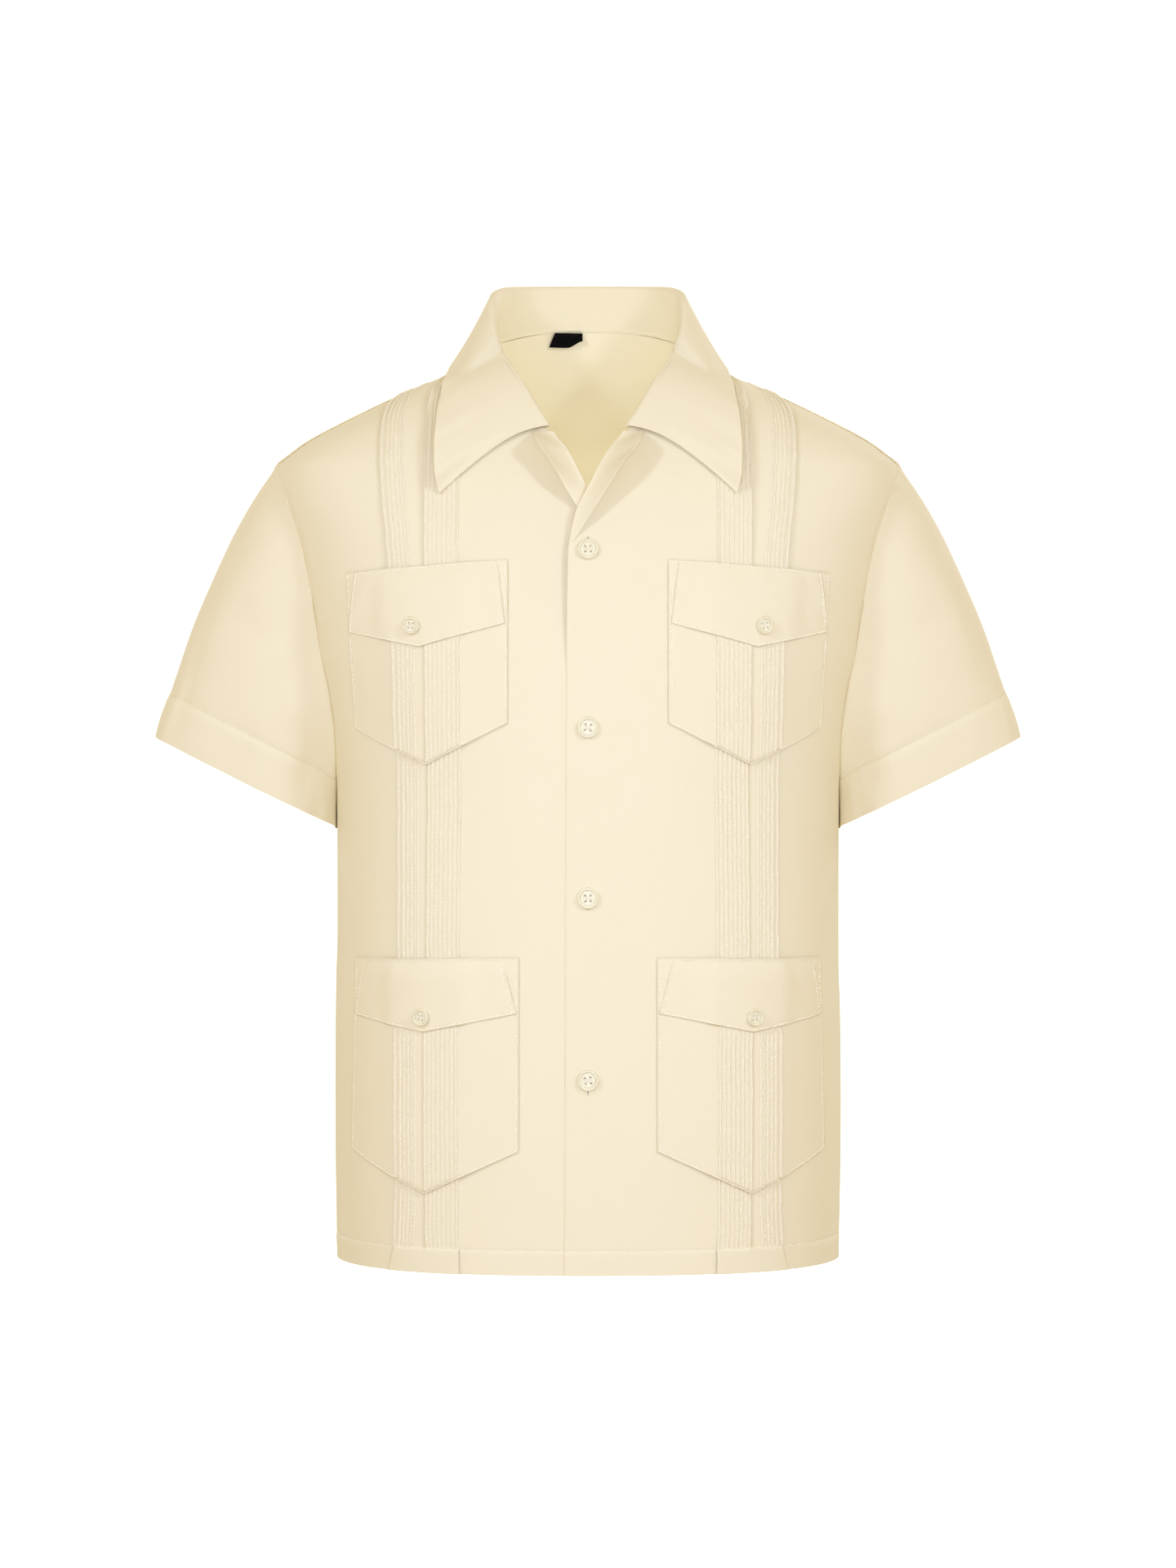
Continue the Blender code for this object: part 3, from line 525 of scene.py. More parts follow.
def wobble(along, seed, wave=0.03):
    """A gentle unevenness between -1 and 1 along a length, different for each seed."""
    phases = np.random.default_rng(seed).uniform(0, 2 * math.pi, 3)
    waves = (wave, wave * 0.62, wave * 0.37)
    return sum(np.sin(2 * math.pi * along / w + p) for w, p in zip(waves, phases)) / 3


# ---- Materials -----------------------------------------------------------------------------------
def named_group(name, inputs, outputs):
    group = bpy.data.node_groups.new(name, "ShaderNodeTree")
    for label, kind, value in inputs:
        socket = group.interface.new_socket(label, in_out="INPUT", socket_type=kind)
        if value is not None:
            socket.default_value = value
    for label, kind in outputs:
        group.interface.new_socket(label, in_out="OUTPUT", socket_type=kind)
    return group, group.nodes.new("NodeGroupInput"), group.nodes.new("NodeGroupOutput")


def math_node(tree, operation, *values):
    node = tree.nodes.new("ShaderNodeMath")
    node.operation = operation
    for socket, value in zip(node.inputs, values):
        if isinstance(value, (int, float)):
            socket.default_value = value
        else:
            tree.links.new(value, socket)
    return node.outputs[0]


def scaled_uv(tree, uv, scale_x, scale_y):
    mapping = tree.nodes.new("ShaderNodeMapping")
    mapping.inputs["Scale"].default_value = (scale_x, scale_y, 1.0)
    tree.links.new(uv, mapping.inputs["Vector"])
    return mapping.outputs["Vector"]


def noise(tree, vector, scale, detail=2.0, distortion=0.0):
    node = tree.nodes.new("ShaderNodeTexNoise")
    node.inputs["Scale"].default_value = scale
    node.inputs["Detail"].default_value = detail
    node.inputs["Distortion"].default_value = distortion
    tree.links.new(vector, node.inputs["Vector"])
    return node.outputs["Fac"]


def blended(tree, share, deep, light):
    """A colour between two others, each given as a colour or as a socket."""
    blend = tree.nodes.new("ShaderNodeMix")
    blend.data_type = "RGBA"
    tree.links.new(share, blend.inputs["Factor"])
    for label, colour in (("A", deep), ("B", light)):
        if isinstance(colour, bpy.types.NodeSocket):
            tree.links.new(colour, blend.inputs[label])
        else:
            blend.inputs[label].default_value = (*colour, 1.0)
    return blend.outputs["Result"]


def new_material(name):
    material = bpy.data.materials.new(name)
    material.use_nodes = True
    return material, material.node_tree, material.node_tree.nodes["Principled BSDF"]


def make_weave_group():
    """A plain weave with slubs: uneven threads, as a height and as a shade round 0.5."""
    group, source, target = named_group(
        "plain_weave",
        [("Cloth", "NodeSocketVector", None), ("Threads per metre", "NodeSocketFloat", 2400.0)],
        [("Height", "NodeSocketFloat"), ("Shade", "NodeSocketFloat")],
    )
    split = group.nodes.new("ShaderNodeSeparateXYZ")
    group.links.new(source.outputs["Cloth"], split.inputs[0])
    turns = math_node(group, "MULTIPLY", source.outputs["Threads per metre"], math.pi)
    warp = math_node(group, "SINE", math_node(group, "MULTIPLY", split.outputs["X"], turns))
    weft = math_node(group, "SINE", math_node(group, "MULTIPLY", split.outputs["Y"], turns))
    over_under = math_node(group, "MULTIPLY", warp, weft)
    warp_slub = noise(group, scaled_uv(group, source.outputs["Cloth"], 900.0, 28.0), 1.0)
    weft_slub = noise(group, scaled_uv(group, source.outputs["Cloth"], 24.0, 1000.0), 1.0)
    slubs = math_node(group, "ADD", warp_slub, weft_slub)
    height = math_node(group, "MULTIPLY_ADD", over_under, 0.25, slubs)
    group.links.new(height, target.inputs["Height"])
    group.links.new(math_node(group, "MULTIPLY", slubs, 0.5), target.inputs["Shade"])
    return group


# How much of a cloth's unevenness of tone is broad mottling. The rest is the threads' own.
MOTTLING = 0.45


def make_tone_group():
    """Two colours mixed by a shade and by broad soft mottling, as dyed cloth has."""
    group, source, target = named_group(
        "dyed_tone",
        [
            ("Cloth", "NodeSocketVector", None),
            ("Shade", "NodeSocketFloat", 0.5),
            ("Deep", "NodeSocketColor", (0.80, 0.72, 0.55, 1.0)),
            ("Light", "NodeSocketColor", (0.90, 0.84, 0.70, 1.0)),
        ],
        [("Colour", "NodeSocketColor")],
    )
    broad = noise(group, source.outputs["Cloth"], 22.0, 3.0)
    fine = math_node(group, "MULTIPLY", source.outputs["Shade"], 1 - MOTTLING)
    share = math_node(group, "MULTIPLY_ADD", broad, MOTTLING, fine)
    colour = blended(group, share, source.outputs["Deep"], source.outputs["Light"])
    group.links.new(colour, target.inputs["Colour"])
    return group


def place_group(tree, group, **values):
    node = tree.nodes.new("ShaderNodeGroup")
    node.node_tree = group
    for label, value in values.items():
        socket = node.inputs[label.replace("_", " ")]
        if isinstance(value, bpy.types.NodeSocket):
            tree.links.new(value, socket)
        else:
            socket.default_value = value
    return node


THREAD_RELIEF = 0.0001


def woven_material(name, deep, light, threads, bump, roughness, sheen, specular=0.25):
    material, tree, shader = new_material(name)
    uv = tree.nodes.new("ShaderNodeUVMap")
    uv.uv_map = "cloth"
    weave = place_group(tree, WEAVE, Cloth=uv.outputs["UV"], Threads_per_metre=threads)
    colours = {"Deep": (*deep, 1.0), "Light": (*light, 1.0)}
    tone = place_group(tree, TONE, Cloth=uv.outputs["UV"], Shade=weave.outputs["Shade"], **colours)
    tree.links.new(tone.outputs["Colour"], shader.inputs["Base Color"])
    relief = tree.nodes.new("ShaderNodeBump")
    relief.inputs["Strength"].default_value = bump
    relief.inputs["Distance"].default_value = THREAD_RELIEF
    tree.links.new(weave.outputs["Height"], relief.inputs["Height"])
    tree.links.new(relief.outputs["Normal"], shader.inputs["Normal"])
    shader.inputs["Roughness"].default_value = roughness
    shader.inputs["Sheen Weight"].default_value = sheen
    shader.inputs["Sheen Roughness"].default_value = 0.45
    shader.inputs["Specular IOR Level"].default_value = specular
    return material


def shell_material(name, deep, light, roughness):
    """Moulded button plastic, thread, or the painted shade of a buttonhole's slit, with a faint swirl of
    tone.
    """
    material, tree, shader = new_material(name)
    spot = tree.nodes.new("ShaderNodeTexCoord")
    swirl = noise(tree, spot.outputs["Object"], 160.0, 3.0, distortion=1.6)
    tree.links.new(blended(tree, swirl, deep, light), shader.inputs["Base Color"])
    tree.links.new(math_node(tree, "MULTIPLY_ADD", swirl, 0.10, roughness), shader.inputs["Roughness"])
    shader.inputs["Coat Weight"].default_value = 0.10
    shader.inputs["Coat Roughness"].default_value = 0.15
    return material


WEAVE = make_weave_group()
TONE = make_tone_group()
COTTON = woven_material(
    "cream_cotton",
    deep=(0.852, 0.772, 0.535),
    light=(0.890, 0.822, 0.593),
    threads=2400.0,
    bump=0.25,
    roughness=0.86,
    sheen=0.12,
)
TAB_SATIN = woven_material(
    "black_satin",
    deep=(0.002, 0.002, 0.002),
    light=(0.006, 0.006, 0.006),
    threads=3600.0,
    bump=0.30,
    roughness=0.80,
    sheen=0.0,
    specular=0.03,
)
THREAD = shell_material("cream_thread", (0.950, 0.905, 0.750), (0.985, 0.950, 0.830), 0.62)
# Painted shade: a dark brown for the buttonholes' slits, laid on the uncut front where a slit's shadow would
# be.
PAINTED_SLIT_SHADE = shell_material("slit_shade", (0.200, 0.150, 0.080), (0.260, 0.200, 0.120), 0.85)
BUTTON_SHELL = shell_material("cream_button", (0.830, 0.770, 0.520), (0.890, 0.845, 0.610), 0.36)


# ---- Making pieces -------------------------------------------------------------------------------
GROOVE_OFFSETS = (-0.0020, -0.0010, -0.0005, 0.0, 0.0005, 0.0010, 0.0020)
GROOVE_REACH = 0.0022


def evenly(low, high, step, tight=()):
    """Places from low to high about a step apart, closer at both ends and around the places in tight."""
    places = list(np.linspace(low, high, max(2, round((high - low) / step) + 1)))
    places += [low + BORDER, high - BORDER]
    for spot in tight:
        places = [p for p in places if abs(p - spot) > GROOVE_REACH]
        places += [spot + offset for offset in GROOVE_OFFSETS]
    return sorted(p for p in set(places) if low <= p <= high)


def shares(length, step, tight=()):
    """Places from 0 to 1 across a length, closer at both ends and around the distances in tight."""
    return [place / length for place in evenly(0.0, length, step, tight)]


def laid_out(points):
    """How far across and along the cloth each point of a grid lies, from the grid's middle column."""
    across = np.linalg.norm(np.diff(points, axis=1), axis=-1)
    across = np.concatenate([np.zeros((len(points), 1)), np.cumsum(across, axis=1)], axis=1)
    along = np.linalg.norm(np.diff(points, axis=0), axis=-1)
    along = np.concatenate([np.zeros((1, points.shape[1])), np.cumsum(along, axis=0)], axis=0)
    return np.stack([across - across[:, [across.shape[1] // 2]], along], axis=-1)


def cloth(name, across, along, place, side=1, wall=CLOTH_WALL, material=COTTON):
    """A sheet of cloth that stands in for the solid of its name. place gives a point for each pair of
    values across and along. On the right side, -1, the grid comes out mirrored and is faced about."""
    across, along = np.asarray(across, float), np.asarray(along, float)
    bm = bmesh.new()
    uv_layer = bm.loops.layers.uv.new("cloth")
    last_row, last_column = len(along) - 1, len(across) - 1
    bmesh.ops.create_grid(bm, x_segments=last_column, y_segments=last_row, size=0.5)
    columns, rows = np.meshgrid(across, along)
    points = place(columns, rows)
    flat = laid_out(points)
    where = [(round((v.co.y + 0.5) * last_row), round((v.co.x + 0.5) * last_column)) for v in bm.verts]
    for face in bm.faces:
        for loop in face.loops:
            loop[uv_layer].uv = flat[where[loop.vert.index]]
    for vert, spot in zip(bm.verts, where):
        vert.co = points[spot]
    bmesh.ops.remove_doubles(bm, verts=bm.verts, dist=1e-6)
    if side < 0:
        bmesh.ops.reverse_faces(bm, faces=bm.faces)
    piece = add_piece(name, bm, material, [name])
    thicken = piece.modifiers.new("wall", "SOLIDIFY")
    thicken.thickness = wall
    thicken.offset = -1.0


def new_object(name, bm):
    """An object with a bmesh's shape, in the scene. The bmesh is freed."""
    mesh = bpy.data.meshes.new(name)
    bm.to_mesh(mesh)
    bm.free()
    made = bpy.data.objects.new(name, mesh)
    bpy.context.scene.collection.objects.link(made)
    return made


def add_piece(name, bm, material, nodes=()):
    piece = new_object(name, bm)
    piece.data.shade_smooth()
    piece.data.materials.append(material)
    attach(piece, "root")
    if nodes:
        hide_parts(*nodes)
    return piece


# ---- Stitches ------------------------------------------------------------------------------------
STITCH_PITCH = 0.0030
STITCH_SIZE = (0.00090, 0.00038, 0.00034)
EDGE_STITCH_SIZE = (0.00105, 0.00048, 0.00042)
Grain = namedtuple("Grain", "centre ahead normal size")
grains = {"left": [], "right": [], "middle": []}


def stitch(place, lines, word, size=STITCH_SIZE):
    """Rows of stitches on a piece, each given by its places across and along, where one may be constant."""
    ahead_step = 1e-3
    for across, along in lines:
        across, along = np.broadcast_arrays(np.asarray(across, float), np.asarray(along, float))
        points = place(across, along)
        run = running_length(points)
        spots = np.arange(STITCH_PITCH / 2, run[-1] - ahead_step, STITCH_PITCH)
        centres, ends = (
            np.stack([np.interp(at, run, points[:, k]) for k in range(3)], axis=-1)
            for at in (spots, spots + ahead_step)
        )
        normals = outward(centres[:, 2], np.arctan2(centres[:, 0], -centres[:, 1]))
        aheads = unit(ends - centres)
        grains[word] += [Grain(c, a, n, size) for c, a, n in zip(centres, aheads, normals)]


def make_stitches(word):
    """One mesh of small rounded grains of thread, one lying along the cloth at each stitch."""
    seed = bmesh.new()
    bmesh.ops.create_icosphere(seed, subdivisions=1, radius=1.0)
    mesh = bpy.data.meshes.new("stitches")
    seed.to_mesh(mesh)
    seed.free()
    grain_size = len(mesh.vertices)
    shape = np.array([v.co for v in mesh.vertices])
    placed = grains[word]
    bm = bmesh.new()
    bm.from_mesh(mesh)
    while len(bm.verts) < grain_size * len(placed):
        bm.to_mesh(mesh)
        bm.from_mesh(mesh)
    bm.verts.ensure_lookup_table()
    bmesh.ops.delete(bm, geom=bm.verts[grain_size * len(placed) :], context="VERTS")
    centres, aheads, normals, sizes = (np.array([grain[k] for grain in placed]) for k in range(4))
    sideways = np.cross(normals, aheads)
    spots = centres[:, None, :] + sum(
        shape[None, :, k, None] * (axes * sizes[:, k, None])[:, None, :]
        for k, axes in enumerate((aheads, sideways, normals))
    )
    for vert, spot in zip(bm.verts, spots.reshape(-1, 3)):
        vert.co = spot
    add_piece(f"stitches_{word}", bm, THREAD)


# ---- Body panels ---------------------------------------------------------------------------------
def front_lift(side, x, height):
    """The right front passes behind the left one where they overlap. x is towards the panel's own side."""
    if side > 0:
        return 0.0 * x
    across_share = 1 - smoothstep(UNDERLAP_FULL, UNDERLAP_OVER, x)
    height_share = 1 - smoothstep(UNDERLAP_TOP_FULL, UNDERLAP_TOP, height)
    depth = mix(UNDERLAP_BELOW, UNDERLAP, smoothstep(*UNDERLAP_DEEPENS, height))
    return -depth * across_share * height_share


def ridge(distance, middle, width):
    return np.exp(-(((distance - middle) / width) ** 2))


def hem_relief(height):
    """A turned-up hem: a second layer's thickness below its stitching, and the stitching's groove."""
    stitched = -0.00030 * ridge(height, BODY_HEM_STITCH, 0.0009)
    return stitched + 0.00025 * (1 - smoothstep(BODY_HEM_STITCH - 0.0020, BODY_HEM_STITCH, height))


def hem_puckers(along, height, seed):
    """Small ripples above and below the hem's stitching, fading upwards."""
    near = ridge(height, BODY_HEM_STITCH - 0.004, 0.013)
    return 0.00045 * wobble(along, seed, 0.021) * near


def seam_dip(distance):
    """A panel sinks into its seam over the last few millimetres."""
    return -SEAM_DIP * (1 - smoothstep(0.0, 0.0045, distance)) + 0.0003 * ridge(distance, 0.0055, 0.0022)


# A front runs on under the back's shoulder seam by the first of these. Its facing's inner edge shows as
# a faint step, and below the given heights the left front's free edge lies closer to the right one.
UNDER_BACK = 0.0022
FACING_EDGE = (0.0340, 0.0360)
FACING_STEP = 0.0005
FRONT_WIDTH = 0.300
EDGE_LIES = (-0.265, -0.225)
EDGE_DROP = 0.0006


def make_front(side, name):
    def place(u, height):
        inner = front_bearing_at_x(height, front_inner_x(height))
        under_back = smoothstep(SHOULDER_TIP, SHOULDER_TIP + 0.003, height)
        outer = bearing_at_y(height, front_edge_y(height) + UNDER_BACK * under_back)
        bearing = mix(inner, outer, u)
        x = outline(height, bearing)[..., 0]
        width = (outer - inner) * UNROLLED_RADIUS
        from_seam, from_free_edge = (1 - u) * width, u * width
        lift = front_lift(side, x, height) + hem_relief(height) + seam_dip(from_seam) * (1 - under_back)
        lift -= 0.0002 * under_back * (1 - smoothstep(0.0015, 0.0040, from_seam))
        lift += hem_puckers(bearing * UNROLLED_RADIUS, height, 11 + side)
        lift += FACING_STEP * (1 - smoothstep(*FACING_EDGE, from_free_edge)) * (height < V_BOTTOM)
        lift -= 0.0005 * (1 - smoothstep(0.0, BORDER * 3, from_free_edge))
        if side > 0:
            lying = 1 - smoothstep(*EDGE_LIES, height)
            lift -= EDGE_DROP * lying * (1 - smoothstep(0.0, 0.0060, from_free_edge))
        return on_form(height, bearing * side, lift)

    rows = evenly(HEM, NECK_POINT, STEP, (BODY_HEM_STITCH,))
    cloth(name, shares(FRONT_WIDTH, STEP, (0.0030,)), rows, place, side)
    stitch(place, [(np.linspace(0.006, 0.996, 400), BODY_HEM_STITCH)], WORDS[side])


def back_outer_bearing(height):
    share = np.minimum(back_neckline_x(height) / half_width(height), 1.0)
    behind = back_depth(height) * (1 - share**ROUNDNESS) ** (1 / ROUNDNESS)
    at_neck = np.arctan2(back_neckline_x(height), -behind)
    edge = np.where(height > SHOULDER_TIP, front_edge_y(height), back_armhole_y(height))
    return np.where(height > NECK_POINT, at_neck, bearing_at_y(height, edge))


def back_levels():
    """The rows' heights at the outer ends, spaced by how far the edge or the centre back runs."""
    fine = np.linspace(HEM, BACK_NECK, 4001)
    ends, centres = outline(fine, back_outer_bearing(fine)), outline(back_centre_height(fine), math.pi)
    runs = [np.linalg.norm(np.diff(line, axis=0), axis=-1) for line in (ends, centres)]
    run = np.concatenate([[0.0], np.cumsum(np.maximum(*runs))])
    stitching = np.interp(BODY_HEM_STITCH, fine, run)
    return np.interp(evenly(0.0, run[-1], STEP, (stitching,)), run, fine)


# The back's shoulder seams are topstitched this far from their edges.
BACK_WIDTH = 0.560
SHOULDER_STITCHING = 0.0042
TOPSTITCHED_EDGE = (0.0050, 0.0066)


def make_back():
    def place(u, outer_height):
        outer = back_outer_bearing(outer_height)
        inward = 1 - np.abs(2 * u - 1)
        height = mix(outer_height, back_centre_height(outer_height), inward * (2 - inward))
        bearing = mix(outer, 2 * math.pi - outer, u)
        from_seam = np.minimum(u, 1 - u) * (2 * math.pi - 2 * outer) * UNROLLED_RADIUS
        dip = seam_dip(from_seam)
        over_shoulder = smoothstep(SHOULDER_TIP, SHOULDER_TIP + 0.002, outer_height)
        over_shoulder = over_shoulder * (outer_height < NECK_POINT)
        topstitched = 0.0011 * (1 - smoothstep(*TOPSTITCHED_EDGE, from_seam))
        topstitched -= 0.0006 * ridge(from_seam, SHOULDER_STITCHING, 0.0007)
        lift = mix(dip, topstitched, over_shoulder) + hem_relief(height)
        lift += hem_puckers(bearing * UNROLLED_RADIUS, height, 17)
        return on_form(height, bearing, lift)

    across = shares(BACK_WIDTH, STEP, (SHOULDER_STITCHING, BACK_WIDTH - SHOULDER_STITCHING))
    cloth("back", across, back_levels(), place)
    lines = [(np.linspace(0.003, 0.997, 600), BODY_HEM_STITCH)]
    shoulder = np.linspace(SHOULDER_TIP + 0.003, NECK_POINT - 0.002, 300)
    inset = SHOULDER_STITCHING / BACK_WIDTH
    lines += [(share, shoulder) for share in (inset, 1 - inset)]
    stitch(place, lines, "middle")


# ---- Sleeves -------------------------------------------------------------------------------------
def armhole_loop(count):
    """The left armhole's heights, bearings and ring angles, down its front edge and up its back one."""
    angles = np.linspace(0, 2 * math.pi, 2401)
    heights = mix(SIDE_SEAM_TOP, SHOULDER_TIP, 0.5 + 0.5 * np.cos(angles))
    edge = np.where(angles < math.pi, front_edge_y(heights), back_armhole_y(heights))
    bearings = bearing_at_y(heights, edge)
    run = running_length(outline(heights, bearings))
    progress = run / run[-1] + angles / (2 * math.pi)
    spots = np.interp(np.linspace(0, 2, count + 1), progress, angles)
    return tuple(np.interp(spots, angles, values) for values in (heights, bearings, angles))


def sleeve_ring(along, angle):
    row = Ring(along, *(smooth_curve(SLEEVE, "along", name)(along) for name in Ring._fields[1:]))
    share = 0.5 + 0.5 * np.cos(angle)
    depth = np.where(np.sin(angle) > 0, row.front_depth, row.back_depth)
    x, z = mix(row.under_x, row.top_x, share), mix(row.under_z, row.top_z, share)
    return np.stack([x, -depth * np.sin(angle), z], axis=-1)


def facing(points):
    """Unit vectors square to a closed ring-shaped grid, whose first and last columns coincide."""
    wrapped = np.concatenate([points[:, -2:-1], points, points[:, 1:2]], axis=1)
    across = wrapped[:, 2:] - wrapped[:, :-2]
    return unit(np.cross(across, np.gradient(points, axis=0)))


# Soft creases of a sleeve: ring angle in degrees and how far along both ends are, width in degrees, rise.
SleeveCrease = namedtuple("SleeveCrease", "start_angle start_along end_angle end_along width rise")
SLEEVE_CREASES = (
    SleeveCrease(96, 0.06, 52, 0.52, 9, -0.0022),
    SleeveCrease(118, 0.10, 80, 0.80, 11, 0.0024),
    SleeveCrease(140, 0.15, 118, 0.95, 10, -0.0018),
    SleeveCrease(62, 0.05, 40, 0.34, 8, 0.0014),
    SleeveCrease(20, 0.02, 16, 0.20, 6, -0.0011),
    SleeveCrease(34, 0.02, 30, 0.16, 5, -0.0010),
    SleeveCrease(345, 0.02, 342, 0.18, 6, -0.0010),
    SleeveCrease(262, 0.06, 300, 0.50, 10, -0.0022),
    SleeveCrease(238, 0.10, 272, 0.85, 12, 0.0026),
    SleeveCrease(214, 0.12, 232, 0.95, 10, -0.0019),
    SleeveCrease(312, 0.30, 318, 0.98, 12, 0.0013),
    SleeveCrease(28, 0.45, 34, 0.98, 11, -0.0011),
)


def sleeve_drape(angle, along):
    raised = 0.0 * angle
    degrees = np.degrees(angle)
    for crease in SLEEVE_CREASES:
        t = np.clip((along - crease.start_along) / (crease.end_along - crease.start_along), 0.0, 1.0)
        beyond = np.abs(along - mix(crease.start_along, crease.end_along, t)) * 220
        turn = np.mod(degrees - mix(crease.start_angle, crease.end_angle, t) + 180, 360) - 180
        away = np.hypot(turn / crease.width, beyond / crease.width)
        raised += crease.rise * np.exp(-(away**2)) * np.sin(math.pi * (0.12 + 0.80 * t))
    return raised


# A sleeve's lengths, and how far its cloth keeps off the body below the height given.
TOP_LENGTH, UNDER_LENGTH = 0.236, 0.0365
CLEAR_OF_BODY = 0.0014
CLEAR_BELOW = -0.200
TUCKED_INTO_ARMHOLE = 0.0006
CAP_PUFF = 0.0016
CUFF_GROOVE = 0.0012


def make_sleeve(side, name):
    heights, bearings, angles = armhole_loop(132)
    lengths = mix(UNDER_LENGTH, TOP_LENGTH, 0.5 + 0.5 * np.cos(angles))
    stitched_at = np.maximum(1 - SLEEVE_HEM / lengths, 0.06)

    def place(column, row):
        i = column.astype(int)
        angle, stitched = angles[i], stitched_at[i]
        along = np.where(row < 1, row * stitched, mix(stitched, 1.0, row - 1))
        base = outline(heights[i], bearings[i]) - outward(heights[i], bearings[i]) * SEAM_DIP
        start = base - np.array([0.978, 0.0, -0.208]) * TUCKED_INTO_ARMHOLE
        points = mix(start, sleeve_ring(along, angle), spread(smoothstep(0.0, SLEEVE_BLEND, along)))
        from_edge = (1 - along) * lengths[i]
        from_armhole = along * lengths[i]
        clear = mix(-SEAM_DIP, CLEAR_OF_BODY, smoothstep(0.0, 0.010, from_armhole))
        points = keep_lift(points, least=clear, where=points[..., 2] < CLEAR_BELOW)
        raised = sleeve_drape(angle, along) * smoothstep(0.0, 0.012, from_armhole)
        puffed = smoothstep(0.0, 0.006, from_armhole) * (1 - smoothstep(0.006, 0.030, from_armhole))
        raised += CAP_PUFF * puffed
        from_top = np.minimum(angle, 2 * math.pi - angle)
        stitched_round = smoothstep(0.0, 0.25, from_top) * (1 - smoothstep(2.5, 2.8, from_top))
        raised += 0.0006 * smoothstep(0.985, 1.02, row)
        raised -= CUFF_GROOVE * ridge(row, 1.0, 0.026) * stitched_round
        around_once = 1.9 * np.sin(angle) + 1.1 * np.cos(angle)
        near_hem = ridge(from_edge, SLEEVE_HEM - 0.004, 0.016)
        raised += 0.0006 * wobble(around_once, 31 + side, 0.62) * near_hem
        raised += 0.0009 * wobble(around_once, 37 + side, 1.45) * smoothstep(0.5, 1.0, along)
        return mirrored(points + facing(points) * spread(raised), side)

    body_rows = shares(0.200, STEP)
    hem_rows = [1 + share for share in shares(SLEEVE_HEM, STEP)[1:]]
    cloth(name, range(len(angles)), body_rows + hem_rows, place, side)
    around = np.array([i for i, angle in enumerate(angles) if angle < 2.85 or angle > 3.45])
    front, behind = around[around < len(angles) / 2], around[around > len(angles) / 2]
    stitch(place, [(front, 0.997), (behind, 0.997)], WORDS[side])


# ---- Collar and revers ---------------------------------------------------------------------------
def station_point(name, along):
    """A collar line's point, for along from 0 at the centre back to 1 at the front end."""
    line = np.array([getattr(station, name) for station in COLLAR])
    line = np.concatenate([line[1:2] * np.array([-1, 1, 1]), line, line[-1:]])
    spot = along * (len(COLLAR) - 1)
    i = np.minimum(spot.astype(int), len(COLLAR) - 2)
    t = spread(spot - i)
    before, start, end, after = line[i], line[i + 1], line[i + 2], line[i + 3]
    lean_out, lean_in = (end - before) * (t * (1 - t) ** 2 / 2), (after - start) * (t * t * (1 - t) / 2)
    return start + lean_out - lean_in + (end - start) * (t * t * (3 - 2 * t))


def keep_lift(points, least=-1.0, most=1.0, where=True):
    """Moves points along the form's outward direction until their lift is within the limits."""
    for _ in range(3):
        bearing = np.arctan2(points[..., 0], -points[..., 1])
        normal = outward(points[..., 2], bearing)
        lift = np.sum((points - outline(points[..., 2], bearing)) * normal, axis=-1)
        points = points + normal * spread(np.where(where, np.clip(lift, least, most) - lift, 0.0))
    return points


# The collar's length along its fold, about, which sets how finely it's divided, and its leaf's depth.
COLLAR_LENGTH = 0.620
LEAF_DEPTH = 0.075

# Its fold lies on the fronts forward of the first y, its stand is held to the back behind the second, and
# its leaf is kept off the body as it comes down between these heights.
FOLD_LIES_FROM = -0.035
STAND_HELD_FROM = 0.010
LEAF_NEARS_BODY = (0.024, 0.004)


